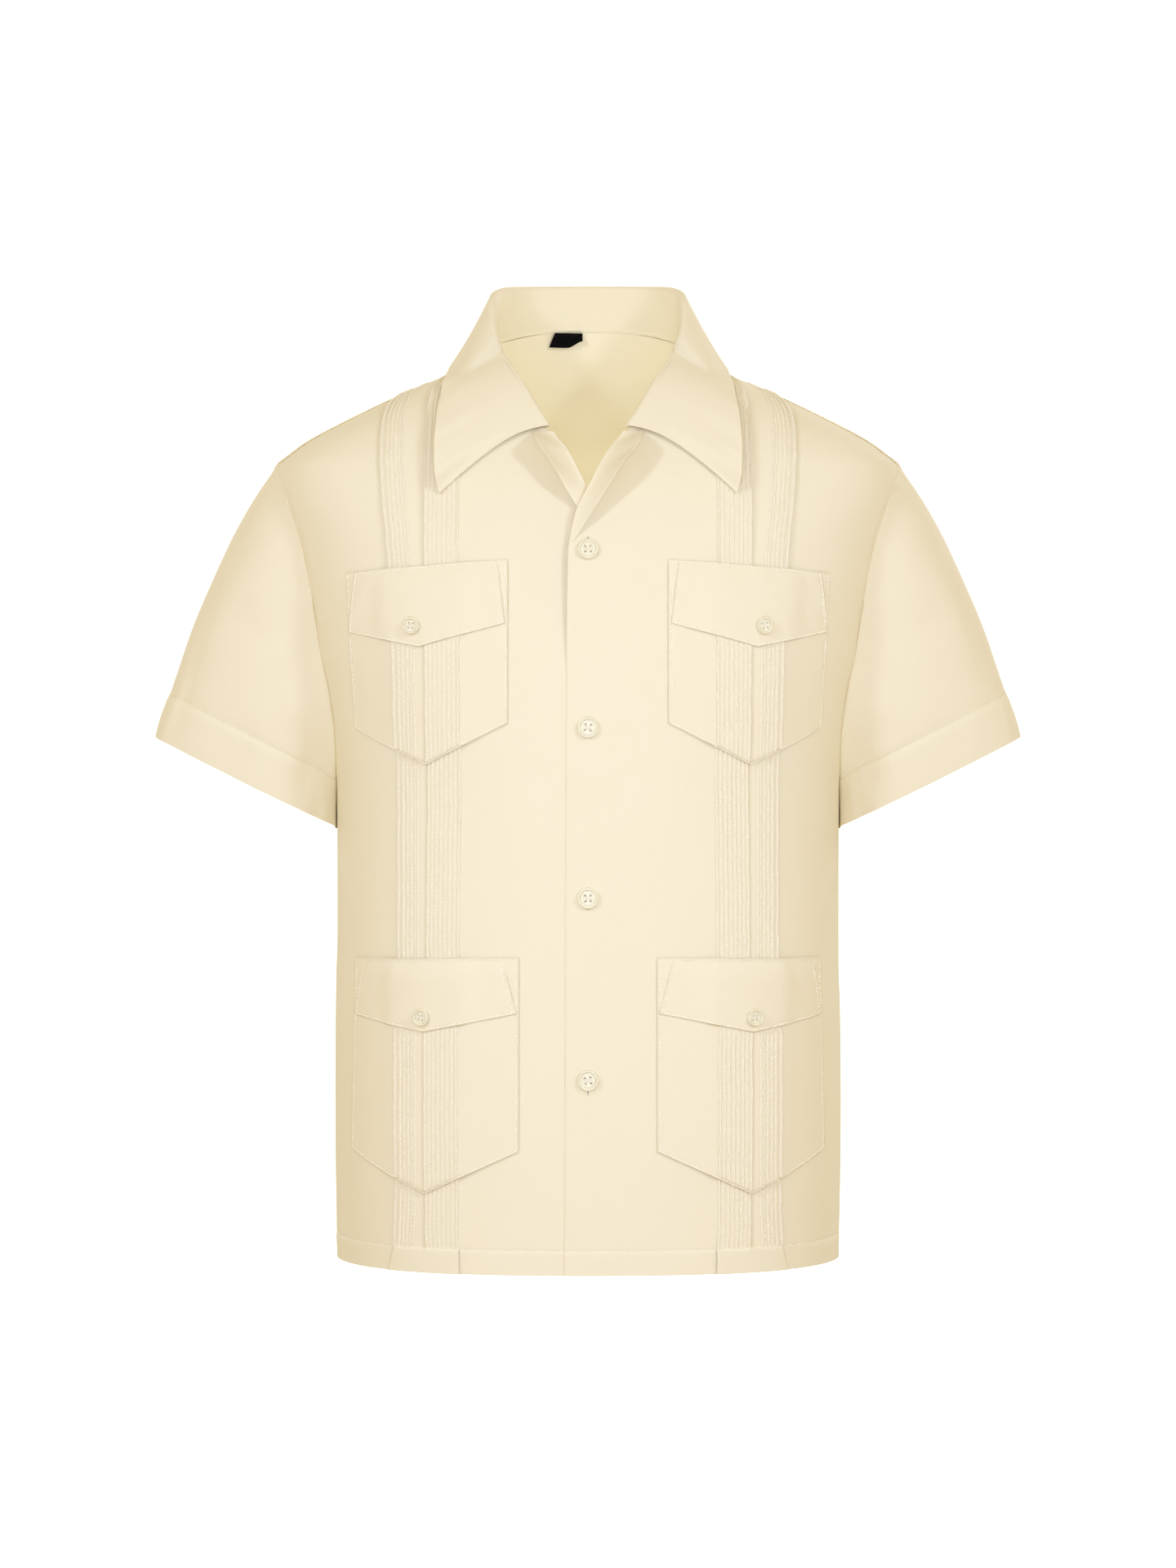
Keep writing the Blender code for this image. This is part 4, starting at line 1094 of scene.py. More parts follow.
def make_collar():
    """The collar as one sheet: its stand for down from 0 to 1, its fold to 2, and its leaf to 3."""

    def place(u, down):
        along = np.abs(2 * u - 1)
        seam, fold, middle, edge = (station_point(name, along) for name in Station._fields)
        forward = fold[..., 1] < FOLD_LIES_FROM
        seam = keep_lift(seam, most=TUCKED_BEHIND, where=forward)
        seam = keep_lift(seam, STAND_LIFT, STAND_LIFT, where=seam[..., 1] > STAND_HELD_FROM)
        fold = keep_lift(fold, FOLD_LIFT, FOLD_LIFT, where=forward)
        upright = unit(fold - (seam + middle) / 2)
        leafward = middle - seam
        leafward = unit(leafward - upright * np.sum(leafward * upright, axis=-1, keepdims=True))
        centre = fold - upright * FOLD_RADIUS
        stand = mix(seam, centre - leafward * FOLD_RADIUS, spread(np.clip(down, 0, 1)))
        turn = spread(math.pi * np.clip(down - 1, 0, 1))
        rolled = centre - leafward * FOLD_RADIUS * np.cos(turn) + upright * FOLD_RADIUS * np.sin(turn)
        top = centre + leafward * FOLD_RADIUS
        t = spread(np.clip(down - 2, 0, 1))
        leaf = np.where(t < 0.5, mix(top, middle, 2 * t), mix(middle, edge, 2 * t - 1))
        bend = (1 - np.abs(2 * t - 1)) ** 2
        leaf = mix(leaf, mix(top, edge, t), 0.35 * bend)
        signed = (u - 0.5) * COLLAR_LENGTH
        flutter = spread(wobble(signed, 51, 0.085)) * 0.0011 * t**2
        flutter += spread(wobble(signed, 52, 0.035)) * 0.0005 * t**3
        stands_off = mix(LEAF_LIFT, LEAF_EDGE_LIFT, t[..., 0] ** 2.5 * smoothstep(0.45, 0.75, along))
        stands_off = mix(stands_off, 0.0018 + 0.0010 * t[..., 0], smoothstep(0.90, 1.0, along))
        near_body = spread(smoothstep(*LEAF_NEARS_BODY, leaf[..., 2]))
        leaf = mix(leaf, keep_lift(leaf, least=stands_off), near_body)
        leaf = leaf + leafward * flutter
        rim = spread(smoothstep(2.975, 3.0, down))
        leaf = leaf - leafward * 0.0004 * rim
        points = np.where(spread(down) <= 1, stand, np.where(spread(down) <= 2, rolled, leaf))
        return np.where(spread(u) > 0.5, points, mirrored(points, -1))

    downs = list(np.linspace(0, 1, 12)) + list(np.linspace(1, 2, 13))[1:]
    downs += [2 + share for share in shares(LEAF_DEPTH, FINE_STEP)[1:]]
    across = shares(COLLAR_LENGTH, 0.0036, (COLLAR_LENGTH / 2,))
    cloth("collar", across, downs, place, wall=COLLAR_WALL)


def make_revers(side, name):
    """A front's turned-out corner: its roll for v from 0 to 1, then its face out to its free edge at 2."""
    roll, edge, left_stand, right_stand = (smooth_curve(REVERS, "height", c) for c in Revers._fields[1:])
    stand = left_stand if side > 0 else right_stand
    start = REVERS[0].height if side > 0 else RIGHT_REVERS_END

    def place(v, height):
        radius = ROLL_RADIUS * smoothstep(REVERS[0].height - 0.002, -0.128, height) + 0.0003
        radius = radius * (1 - 0.75 * smoothstep(-0.090, -0.072, height))
        turn, t = math.pi * np.clip(v, 0, 1), np.clip(v - 1, 0, 1)
        x = mix(roll(height), edge(height), t) - radius * np.sin(turn)
        lift = radius * (1 - np.cos(turn)) - 0.0003 + stand(height) * t**1.4
        lift += 0.0007 * wobble(height, 61 + side, 0.050) * t**2
        lift -= 0.0004 * smoothstep(0.97, 1.0, t)
        bearing = front_bearing_at_x(height, x)
        return on_form(height, bearing * side, lift + front_lift(side, x, height))

    across = list(np.linspace(0, 1, 13)) + [1 + share for share in shares(0.030, 0.0016)[1:]]
    rows = evenly(start, REVERS[-1].height, FINE_STEP)
    cloth(name, across, rows, place, side)


# ---- What lies on the fronts ---------------------------------------------------------------------
def on_front(side, across, height, lift):
    """A point on a front at a distance across it from the centre line."""
    bearing = front_bearing_across(height, across)
    x = outline(height, bearing)[..., 0]
    return on_form(height, bearing * side, lift + front_lift(side, x, height))


def seam_height(across):
    """The height of the shoulder seam straight above a place across the front."""
    low, high = SHOULDER_TIP + 0 * across, NECK_POINT + 0 * across
    for _ in range(24):
        height = (low + high) / 2
        reach = outline(height, bearing_at_y(height, front_edge_y(height)))[..., 0]
        within = outline(height, front_bearing_across(height, across))[..., 0] < reach
        low, high = np.where(within, height, low), np.where(within, high, height)
    return low


TUCK_EDGES = [t.edge for t in INNER_TUCKS] + [STRIP_WIDTH - t.edge for t in OUTER_TUCKS]
STRIP_TUCKS = list(zip(TUCK_EDGES, INNER_TUCKS + OUTER_TUCKS))
CHANNEL = (INNER_TUCKS[-1].edge + TUCK_FALL, STRIP_WIDTH - OUTER_TUCKS[0].edge - OUTER_TUCKS[0].width)


def strip_columns():
    columns = {0.0, STRIP_WIDTH, sum(CHANNEL) / 2, *CHANNEL}
    for edge, tuck in STRIP_TUCKS:
        columns |= {edge - tuck.width * share for share in (1.0, 0.65, 0.5, 0.35)}
        columns |= {edge - TUCK_FALL_START, edge, edge + TUCK_FALL}
    return sorted(c for c in columns if 0 <= c <= STRIP_WIDTH)


# A strip's rows of stitches lie just inside each tuck's free edge.
STRIP_STITCHING = [max(edge - 0.0010, 0.0006) for edge, _ in STRIP_TUCKS]


def strip_across(u, inner, outer):
    """Where a strip's place u lies when the strip runs from inner to outer: only the channel widens."""
    in_channel = np.clip((u - CHANNEL[0]) / (CHANNEL[1] - CHANNEL[0]), 0, 1)
    return inner + u + (outer - inner - STRIP_WIDTH) * in_channel


def near_strip_sides(u):
    """1 at a strip's two sides and 0 a border away from them."""
    return (1 - smoothstep(0, BORDER, u)) + (1 - smoothstep(0, BORDER, STRIP_WIDTH - u))


def strip_rise(u, along, seed):
    """A strip's tucks: each rises unevenly to its free edge and falls sharply beyond it."""
    rise = 0.0 * u
    for number, (edge, tuck) in enumerate(STRIP_TUCKS):
        t = (u - edge + tuck.width) / tuck.width
        uneven = 1 + 0.22 * wobble(along, seed + number, 0.045)
        uneven = uneven + 0.12 * wobble(along, seed + 50 + number, 0.011)
        climb = np.clip(t, 0, None) ** 1.3 - 0.45 * ridge(t, 0.50, 0.10)
        rise = rise + tuck.height * uneven * np.where((t > 0) & (t <= 1.0001), climb, 0.0)
    return rise


def strip_waver(u, along, seed):
    """The tucks' lines aren't quite straight."""
    return 0.00028 * wobble(along, seed + 90, 0.060) + 0.00012 * wobble(along + 3 * u, seed + 91, 0.017)


# Above this height a band's rows lean, so that they end along the shoulder seam.
BAND_LEANS = -0.0955


def make_front_band(side, name):
    columns = np.array(strip_columns())
    tops = seam_height(strip_across(columns, BAND[-1].inner, BAND[-1].outer)) - BAND_BELOW_SEAM

    def place(u, row):
        top = np.interp(u, columns, tops)
        height = np.where(row <= BAND_LEANS, row, mix(BAND_LEANS, top, row - BAND_LEANS))
        across = strip_across(u, band_inner(height), band_outer(height)) + strip_waver(u, height, 70 + side)
        free = smoothstep(BODY_HEM_STITCH - 0.0010, BODY_HEM_STITCH + 0.0010, height)
        rise = mix(0.0014, strip_rise(u, height, 100 + side), free)
        rise -= 0.0004 * ridge(height, BODY_HEM_STITCH, 0.0009)
        pucker = 0.00022 * wobble(height + 2 * u, 80 + side, 0.013) * smoothstep(0, 0.012, u)
        return on_front(side, across, height, STRIP_LIFT + rise + pucker - 0.0006 * near_strip_sides(u))

    rows = evenly(HEM, BAND_LEANS, FINE_STEP, (BODY_HEM_STITCH,))
    rows += [BAND_LEANS + share for share in shares(0.080, FINE_STEP)[1:]]
    cloth(name, columns, rows, place, side, STRIP_WALL)
    leaning = np.linspace(BAND_LEANS, BAND_LEANS + 1, 80)[1:]
    along = np.concatenate([np.linspace(BODY_HEM_STITCH, BAND_LEANS, 500), leaning])
    stitch(place, [(u, along) for u in STRIP_STITCHING], WORDS[side])


def patch_point(patch, u, v):
    """Across and height on a patch: u from its inner to its outer side, v from its low edge to its top."""
    inner = mix(patch.inner_low, patch.inner_top, v)
    outer = mix(patch.outer_low, patch.outer_top, v)
    middle = mix(patch.tip, (patch.inner_top + patch.outer_top) / 2, v)
    near = u < 0.5
    across = np.where(near, mix(inner, middle, 2 * u), mix(middle, outer, 2 * u - 1))
    low_inner = mix(patch.corner_inner, patch.tip_height, 2 * u)
    low = np.where(near, low_inner, mix(patch.tip_height, patch.corner_outer, 2 * u - 1))
    return across, mix(low, mix(patch.top_inner, patch.top_outer, u), v)


# A pocket's or flap's cloth rises onto a band between these distances from the band's side.
BAND_RAMP = (-0.0200, -0.0010)


def over_band(across, height):
    """1 where a place lies over a front's tucked band and 0 away from it."""
    inside = np.minimum(across - band_inner(height), band_outer(height) - across)
    return smoothstep(*BAND_RAMP, inside)


EDGE_STITCHING = 0.0019
PATCH_STEP = 0.0034
POCKET_HEM = 0.0170


def rim_groove(distance):
    """A turned edge: thick outside its stitching, drawn in along it."""
    thick = 0.00035 * (1 - smoothstep(0.0014, 0.0022, distance))
    return thick - 0.00030 * ridge(distance, EDGE_STITCHING, 0.0007)


def patch_edges(patch, u, v):
    """How far a place is from a patch's sides, low edge and top."""
    wide, tall = patch_size(patch)
    return np.minimum(u, 1 - u) * wide, v * tall, (1 - v) * tall


def patch_size(patch):
    return patch.outer_top - patch.inner_top, patch.top_inner - patch.corner_inner


def patch_grid(patch, row_step):
    """A patch's columns, the same from both sides and with one at its point, and its rows."""
    wide, tall = patch_size(patch)
    columns = shares(wide, PATCH_STEP, (EDGE_STITCHING,))
    columns = sorted(set(columns + [1 - share for share in columns] + [0.5]))
    return columns, shares(tall, row_step, (EDGE_STITCHING, tall - EDGE_STITCHING))


def patch_stitching(patch, side_count):
    """The stitching down a patch's sides and along its pointed low edge."""
    edge_u, edge_v = (EDGE_STITCHING / length for length in patch_size(patch))
    lines = [(u, np.linspace(edge_v, 1 - edge_v, side_count)) for u in (edge_u, 1 - edge_u)]
    return lines + [(np.linspace(edge_u, 0.5, 80), edge_v), (np.linspace(0.5, 1 - edge_u, 80), edge_v)]


def make_pocket(side, name, patch, seed):
    def place(u, v):
        across, height = patch_point(patch, u, v)
        from_side, from_low, from_top = patch_edges(patch, u, v)
        nearest = np.minimum(np.minimum(from_side, from_low), from_top)
        base = mix(POCKET_LIFT, POCKET_LIFT_ON_BAND, over_band(across, height))
        closing = 1 - smoothstep(0.0, 0.0008, nearest)
        puff = POCKET_PUFF * smoothstep(0.004, 0.040, nearest)
        ripple = 0.0003 * wobble(across + height, seed, 0.034) * smoothstep(0.0, 0.010, nearest)
        pucker = 0.00022 * wobble(across * 1.7 - height, seed + 1, 0.009) * ridge(nearest, 0.004, 0.004)
        lift = base + puff + ripple + pucker + rim_groove(nearest) - (base - 0.0004) * closing
        return on_front(side, across, height, lift)

    columns, rows = patch_grid(patch, PATCH_STEP)
    cloth(name, columns, rows, place, side, STRIP_WALL)
    corner_v = 1 - POCKET_HEM / patch_size(patch)[1]
    corners = [(np.linspace(0.012, 0.055, 20), corner_v), (np.linspace(0.945, 0.988, 20), corner_v)]
    stitch(place, patch_stitching(patch, 160) + corners, WORDS[side], EDGE_STITCH_SIZE)


# A pocket's strip of tucks runs up below its flap and stops short of the pocket's low edge. Its tucks
# are a little flatter than the bands' and flatter still near its top.
STRIP_UNDER_FLAP = 0.0135
STRIP_STOPS_SHORT = 0.0026
POCKET_TUCK_SHARE = 0.85


def make_pocket_band(side, name, pocket, flap, seed):
    top = flap.tip_height + STRIP_UNDER_FLAP
    middle_height = (pocket.tip_height + top) / 2
    inner, outer = band_inner(middle_height), band_outer(middle_height)

    def low_edge(across):
        t = np.where(
            across < pocket.tip,
            (across - pocket.inner_low) / (pocket.tip - pocket.inner_low),
            (pocket.outer_low - across) / (pocket.outer_low - pocket.tip),
        )
        corner = np.where(across < pocket.tip, pocket.corner_inner, pocket.corner_outer)
        return mix(corner, pocket.tip_height, t)

    def place(u, v):
        across = strip_across(u, inner, outer)
        height = mix(low_edge(across) + STRIP_STOPS_SHORT, top, v)
        across = across + strip_waver(u, height, seed)
        sides = near_strip_sides(u) + 1 - smoothstep(0.0, 0.008, v)
        pucker = 0.00018 * wobble(height + 2 * u, seed + 7, 0.012)
        puff = POCKET_PUFF * smoothstep(0.004, 0.040, v * (top - pocket.tip_height))
        rise = strip_rise(u, height, seed) * POCKET_TUCK_SHARE * (1 - 0.8 * smoothstep(0.88, 0.93, v))
        lift = POCKET_STRIP_LIFT + puff + rise + pucker - 0.0004 * np.minimum(sides, 1)
        return on_front(side, across, height, lift)

    rows = shares(top - pocket.tip_height, FINE_STEP)
    cloth(name, strip_columns(), rows, place, side, STRIP_WALL)
    stitch(place, [(u, np.linspace(0.03, 0.97, 120)) for u in STRIP_STITCHING], WORDS[side])


def flap_lift(flap, u, v):
    across, height = patch_point(flap, u, v)
    from_side, from_low, from_top = patch_edges(flap, u, v)
    free = np.minimum(from_side, from_low)
    base = mix(FLAP_LIFT, FLAP_LIFT_ON_BAND, over_band(across, height))
    base = mix(POCKET_LIFT + 0.0010 * over_band(across, height), base, smoothstep(0.0, 0.012, from_top))
    stand = FLAP_STAND * (1 - v) ** 2 * (1 - np.abs(2 * u - 1)) ** 0.7
    edge = 0.0006 * (1 - smoothstep(0.0, 0.0009, free))
    edge = edge + (base - 0.0004) * (1 - smoothstep(0, 0.0008, from_top))
    return base + stand + rim_groove(np.minimum(free, from_top)) - edge


def make_flap(side, name, flap, seed):
    tall = patch_size(flap)[1]

    def place(u, v):
        across, height = patch_point(flap, u, v)
        ripple = 0.00035 * wobble(across + 0.6 * height, seed, 0.041)
        pucker = 0.00018 * wobble(across * 1.3, seed + 1, 0.010) * ridge(v * tall, 0.004, 0.004)
        return on_front(side, across, height, flap_lift(flap, u, v) + ripple + pucker)

    columns, rows = patch_grid(flap, FINE_STEP)
    cloth(name, columns, rows, place, side)
    edge_u, edge_v = (EDGE_STITCHING / length for length in patch_size(flap))
    top_line = (np.linspace(edge_u, 1 - edge_u, 160), 1 - edge_v)
    stitch(place, patch_stitching(flap, 80) + [top_line], WORDS[side], EDGE_STITCH_SIZE)


# ---- Buttons -------------------------------------------------------------------------------------
def button_profile(radius):
    """Half a button's section, from the dished face over the raised rim to the flat back."""
    half = BUTTON_THICKNESS / 2
    return (
        (0.0, half - 0.00105),
        (radius * 0.30, half - 0.00103),
        (radius * 0.55, half - 0.00090),
        (radius * 0.67, half - 0.00082),
        (radius * 0.73, half - 0.00150),
        (radius * 0.77, half - 0.00080),
        (radius * 0.81, half - 0.00006),
        (radius * 0.88, half),
        (radius * 0.93, half - 0.00008),
        (radius * 0.97, half - 0.00050),
        (radius, half - 0.00140),
        (radius * 0.99, -half * 0.35),
        (radius * 0.95, -half * 0.75),
        (radius * 0.86, -half),
        (0.0, -half),
    )


def turned_button(radius):
    bm = bmesh.new()
    points = [bm.verts.new((x, 0.0, z)) for x, z in button_profile(radius)]
    lines = [bm.edges.new(pair) for pair in zip(points, points[1:])]
    bmesh.ops.spin(
        bm, geom=points + lines, cent=(0, 0, 0), axis=(0, 0, 1), angle=2 * math.pi, steps=48, use_merge=True
    )
    bmesh.ops.remove_doubles(bm, verts=bm.verts, dist=1e-6)
    bmesh.ops.recalc_face_normals(bm, faces=bm.faces)
    return bm


def drilled(bm, spots, hole_radius):
    """A button's mesh with its holes cut through."""
    blank = new_object("button_blank", bm)
    cutting = bmesh.new()
    for x, y in spots:
        made = bmesh.ops.create_cone(
            cutting,
            cap_ends=True,
            segments=16,
            radius1=hole_radius,
            radius2=hole_radius,
            depth=4 * BUTTON_THICKNESS,
        )
        bmesh.ops.translate(cutting, verts=made["verts"], vec=(x, y, 0.0))
    cutter = new_object("button_holes", cutting)
    cut = blank.modifiers.new("holes", "BOOLEAN")
    cut.operation = "DIFFERENCE"
    cut.object = cutter
    graph = bpy.context.evaluated_depsgraph_get()
    result = bmesh.new()
    result.from_mesh(blank.evaluated_get(graph).to_mesh())
    for helper in (blank, cutter):
        bpy.data.objects.remove(helper, do_unlink=True)
    return result


def thread_bar(bm, start, end):
    """A round thread arched from one hole to another."""
    start, end = Vector(start), Vector(end)
    points = []
    for i in range(9):
        t = i / 8
        arch = THREAD_ARCH * (1 - (2 * t - 1) ** 4) - 0.0016 * (t in (0.0, 1.0))
        points.append(start.lerp(end, t) + Vector((0, 0, arch)))
    tube(bm, points, THREAD_THICKNESS / 2, 8)


def tube(bm, points, radius, sides):
    """A closed tube along a line of points."""
    rings = []
    for i, point in enumerate(points):
        ahead = points[min(i + 1, len(points) - 1)] - points[max(i - 1, 0)]
        turn = ahead.to_track_quat("Z", "Y").to_matrix().to_4x4()
        turn.translation = point
        made = bmesh.ops.create_circle(bm, cap_ends=False, segments=sides, radius=radius, matrix=turn)
        rings.append(made["verts"])
    for first, second in zip(rings, rings[1:]):
        edges = [e for e in bm.edges if e.verts[0] in first and e.verts[1] in first]
        edges += [e for e in bm.edges if e.verts[0] in second and e.verts[1] in second]
        bmesh.ops.bridge_loops(bm, edges=edges)
    for ring in (rings[0], rings[-1]):
        bmesh.ops.contextual_create(bm, geom=ring)
    bmesh.ops.recalc_face_normals(bm, faces=bm.faces)


def placing(centre, normal, turn=0.0):
    """The matrix that lays a flat thing on the cloth, its Y upright, then turned about the normal."""
    normal = Vector(normal).normalized()
    right = Vector((0, 0, 1)).cross(normal).normalized()
    upright = normal.cross(right)
    matrix = Matrix((right, upright, normal)).transposed().to_4x4() @ Matrix.Rotation(turn, 4, "Z")
    matrix.translation = Vector(centre)
    return matrix


# Shares of a button's radius: how far its holes lie from its middle each way, and their own radius.
HOLE_SPOT = 0.255
HOLE_RADIUS = 0.088
THREAD_SPREAD = 0.00028
THREAD_ARCH = 0.00045
THREAD_THICKNESS = 0.00052


def make_button(name, radius, centre, normal, turn):
    spot = radius * HOLE_SPOT
    spots = [(x * spot, y * spot) for x in (-1, 1) for y in (-1, 1)]
    bm = drilled(turned_button(radius), spots, radius * HOLE_RADIUS)
    matrix = placing(centre, normal, turn)
    bm.transform(matrix)
    add_piece(name, bm, BUTTON_SHELL, [name])
    face = BUTTON_THICKNESS / 2 - 0.0007
    threads = bmesh.new()
    for x in (-1, 1):
        for offset in (-THREAD_SPREAD, THREAD_SPREAD):
            start, end = (x * spot + offset, -spot, face), (x * spot + offset, spot, face)
            thread_bar(threads, start, end)
    threads.transform(matrix)
    add_piece(name + "_thread", threads, THREAD)


def make_front_buttons():
    for number, (height, turn) in enumerate(zip(FRONT_BUTTON_HEIGHTS, FRONT_BUTTON_TURNS), start=1):
        normal = outward(np.array(height), np.array(0.0))
        centre = on_form(height, 0.0, 0.0010 + BUTTON_THICKNESS / 2)
        make_button(f"front_button_{number}", FRONT_BUTTON_RADIUS, centre, normal, turn)


# How far each front buttonhole's middle lies above its button's.
BUTTONHOLE_OFFSETS = (0.0014, 0.0002, -0.0004, -0.0024)
BUTTONHOLE_LENGTH = 0.0182
SATIN_STITCH_SIZE = (0.00062, 0.00027, 0.00030)
SATIN_STITCH_PITCH = 0.00048
SATIN_ROW = 0.00078
# Half the width of each slit's dark sheet of painted shade.
PAINTED_SLIT_SHADE_HALF_WIDTH = 0.00034


def make_buttonholes():
    """Upright buttonholes under the front buttons: two rows of close satin stitches beside a slit, which is a
    flat dark sheet of painted shade.
    """
    half = BUTTONHOLE_LENGTH / 2
    slit_shade_sheets = bmesh.new()
    for height, offset in zip(FRONT_BUTTON_HEIGHTS, BUTTONHOLE_OFFSETS):
        middle = height + offset
        for step in np.arange(-half, half + 0.0001, SATIN_STITCH_PITCH):
            near_end = smoothstep(half - 0.0012, half, abs(step))
            for x in (-SATIN_ROW, SATIN_ROW):
                bearing = front_bearing_at_x(middle + step, x * (1 - near_end * 0.5))
                normal = outward(middle + step, bearing)
                spot = on_form(middle + step, bearing, 0.0007)
                grains["middle"].append(Grain(spot, np.array([1.0, 0.0, 0.0]), normal, SATIN_STITCH_SIZE))
        matrix = placing(on_form(middle, 0.0, 0.00062), outward(np.array(middle), np.array(0.0)))
        # Each slit is a flat dark sheet of painted shade laid on the uncut front.
        made = bmesh.ops.create_circle(slit_shade_sheets, cap_ends=True, segments=16, radius=1.0)
        bmesh.ops.scale(slit_shade_sheets, verts=made["verts"], vec=(PAINTED_SLIT_SHADE_HALF_WIDTH, half, 1.0))
        bmesh.ops.transform(slit_shade_sheets, verts=made["verts"], matrix=matrix)
    add_piece("buttonhole_slit_painted_shade", slit_shade_sheets, PAINTED_SLIT_SHADE)


def flap_spot(flap, across, height):
    """The u and v of a flap at a place across the front."""
    u, v = 0.5, 0.5
    wide, tall = patch_size(flap)
    for _ in range(60):
        at_across, at_height = patch_point(flap, np.array(u), np.array(v))
        u += (across - at_across) / wide
        v += (height - at_height) / tall
    return u, v


def make_flap_buttons(side, word):
    for level, (across, height) in FLAP_BUTTONS.items():
        u, v = flap_spot(FLAPS[level], across, height)
        lift = flap_lift(FLAPS[level], np.array(u), np.array(v)) + 0.0006 + BUTTON_THICKNESS / 2
        bearing = front_bearing_across(np.array(height), np.array(across)) * side
        normal = outward(np.array(height), bearing)
        centre = on_front(side, np.array(across), np.array(height), lift)
        name = f"flap_button_{level}_{word}"
        make_button(name, FLAP_BUTTON_RADIUS, centre, normal, 0.10 * side if level == "upper" else -0.07)


# ---- Size tab ------------------------------------------------------------------------------------
TAB_INNER, TAB_OUTER, TAB_SLANT = -0.0045, -0.0320, 0.0050
TAB_TOP, TAB_LOW = 0.0268, 0.0152
TAB_LIFT = -0.0034


def make_size_tab():
    def place(u, v):
        curl = 0.0030 * smoothstep(0.45, 1.0, u) * (1 - smoothstep(0.0, 0.6, v))
        x = mix(TAB_OUTER + TAB_SLANT * v, TAB_INNER, u)
        height = mix(TAB_LOW + 0.0050 * smoothstep(0.55, 1.0, u), TAB_TOP, v)
        behind = back_depth(height) * (1 - np.abs(x / half_width(height)) ** ROUNDNESS) ** (1 / ROUNDNESS)
        return np.stack([x, behind + TAB_LIFT - curl, height], axis=-1)

    across, along = np.linspace(0, 1, 25), np.linspace(0, 1, 13)
    cloth("size_tab", across, along, place, material=TAB_SATIN)


# ---- The shirt -----------------------------------------------------------------------------------
make_back()
make_collar()
make_size_tab()
make_front_buttons()
for side, word in WORDS.items():
    make_front(side, f"front_{word}")
    make_revers(side, f"revers_{word}")
    make_sleeve(side, f"sleeve_{word}")
    make_front_band(side, f"tuck_band_{word}")
    for seed, level in ((200, "upper"), (300, "lower")):
        pocket, flap = POCKETS[level], FLAPS[level]
        make_pocket(side, f"pocket_{level}_{word}", pocket, seed + 10 * side)
        make_pocket_band(side, f"pocket_tucks_{level}_{word}", pocket, flap, seed + 11 * side + 30)
        make_flap(side, f"flap_{level}_{word}", flap, seed + 12 * side + 60)
    make_flap_buttons(side, word)
make_buttonholes()
for word in grains:
    make_stitches(word)


# ---- The cloth as cut ----------------------------------------------------------------------------
# A cloth piece as cut: its name, in which braces stand for the side, its flat width, length and area, how
# it's held, and what it lies on or hangs from. The sizes are of what shows, measured along the cloth, over a
# strip's tucks. The script defines this record but lists no pieces.
Cut = namedtuple("Cut", "name width length area held rests_on")


# ---- Studio --------------------------------------------------------------------------------------
ROOM_SIZE = (13.0, 13.0, 8.0)
ROOM_MIDDLE = (0.0, 0.0, 2.85)
ROOM_COVE = 1.5


def make_studio():
    """A plain white room with rounded corners, seen from inside, that lights nothing itself."""
    material, _, shader = new_material("studio_white")
    shader.inputs["Base Color"].default_value = (0.95, 0.95, 0.95, 1.0)
    shader.inputs["Roughness"].default_value = 0.9
    shader.inputs["Emission Color"].default_value = (1.0, 1.0, 1.0, 1.0)
    shader.inputs["Emission Strength"].default_value = 1.0
    bm = bmesh.new()
    made = bmesh.ops.create_cube(bm, size=1.0)
    bmesh.ops.scale(bm, verts=made["verts"], vec=ROOM_SIZE)
    bmesh.ops.translate(bm, verts=made["verts"], vec=ROOM_MIDDLE)
    bmesh.ops.bevel(bm, geom=bm.edges, offset=ROOM_COVE, segments=8, profile=0.5, affect="EDGES", material=-1)
    bmesh.ops.reverse_faces(bm, faces=bm.faces)
    room = new_object("studio_room", bm)
    room.data.shade_smooth()
    room.data.materials.append(material)
    room.visible_diffuse = False
    room.visible_glossy = False
    room.visible_shadow = False


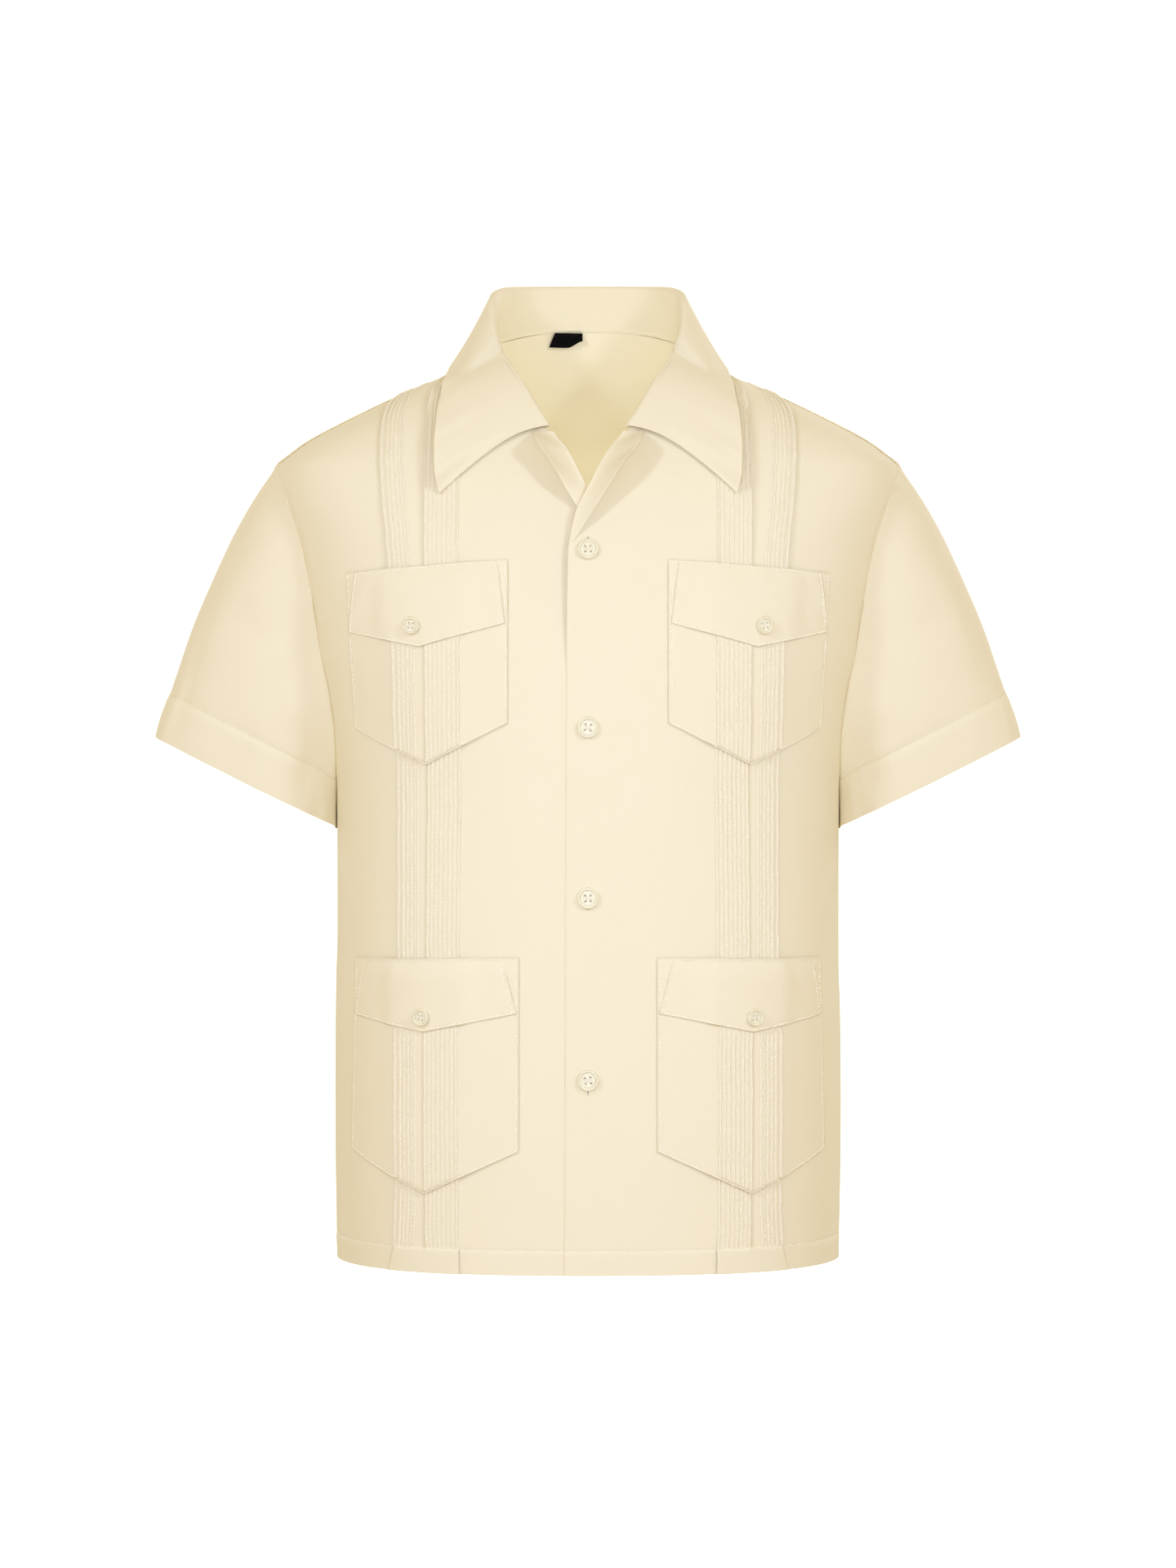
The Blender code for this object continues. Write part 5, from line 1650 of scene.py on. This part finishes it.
def add_softbox(name, spot, target, size, power, colour):
    data = bpy.data.lights.new(name, "AREA")
    data.shape = "RECTANGLE"
    data.size, data.size_y = size
    data.energy = power
    data.color = colour
    lamp = bpy.data.objects.new(name, data)
    lamp.location = spot
    lamp.visible_camera = False
    lamp.rotation_euler = (Vector(target) - Vector(spot)).to_track_quat("-Z", "Y").to_euler()
    bpy.context.scene.collection.objects.link(lamp)


SHIRT_MIDDLE = (0.0, 0.0, -0.34)
Softbox = namedtuple("Softbox", "name spot target size power colour")
SOFTBOXES = (
    Softbox("left_softbox", (2.1, -2.2, 1.00), SHIRT_MIDDLE, (0.4, 0.5), 30, (0.58, 0.695, 0.97)),
    Softbox("right_softbox", (-2.1, -2.2, 1.00), SHIRT_MIDDLE, (0.4, 0.5), 30, (0.58, 0.695, 0.97)),
    Softbox("strip_softbox", (0.0, -1.15, -0.42), (0.0, 0.0, -0.44), (0.20, 0.80), 5.4, (0.50, 0.60, 0.98)),
    Softbox("rear_softbox", (1.9, 2.4, 1.10), SHIRT_MIDDLE, (0.8, 1.2), 44, (0.62, 0.76, 1.0)),
    Softbox("rear_fill_softbox", (-1.9, 2.4, 0.60), SHIRT_MIDDLE, (0.8, 1.2), 26, (0.62, 0.76, 1.0)),
    Softbox("inner_glow", (0.0, 0.00, -0.34), (0.0, 0.05, -0.08), (0.12, 0.12), 0.40, (0.84, 0.89, 1.0)),
)
make_studio()
for softbox in SOFTBOXES:
    add_softbox(*softbox)

world = bpy.data.worlds.new("white_room")
world.use_nodes = True
world.node_tree.nodes["Background"].inputs["Color"].default_value = (0.655, 0.540, 0.362, 1.0)
world.node_tree.nodes["Background"].inputs["Strength"].default_value = 1.0
bpy.context.scene.world = world
bpy.context.scene.view_settings.view_transform = "Standard"

camera_data = bpy.data.cameras.new("camera")
camera_data.lens = 82.4
camera_data.sensor_width = 36.0
camera = bpy.data.objects.new("camera", camera_data)
camera.location = (0.0, -2.9, -0.3445)
camera.rotation_euler = (math.pi / 2, 0.0, 0.0)
bpy.context.scene.collection.objects.link(camera)
bpy.context.scene.camera = camera
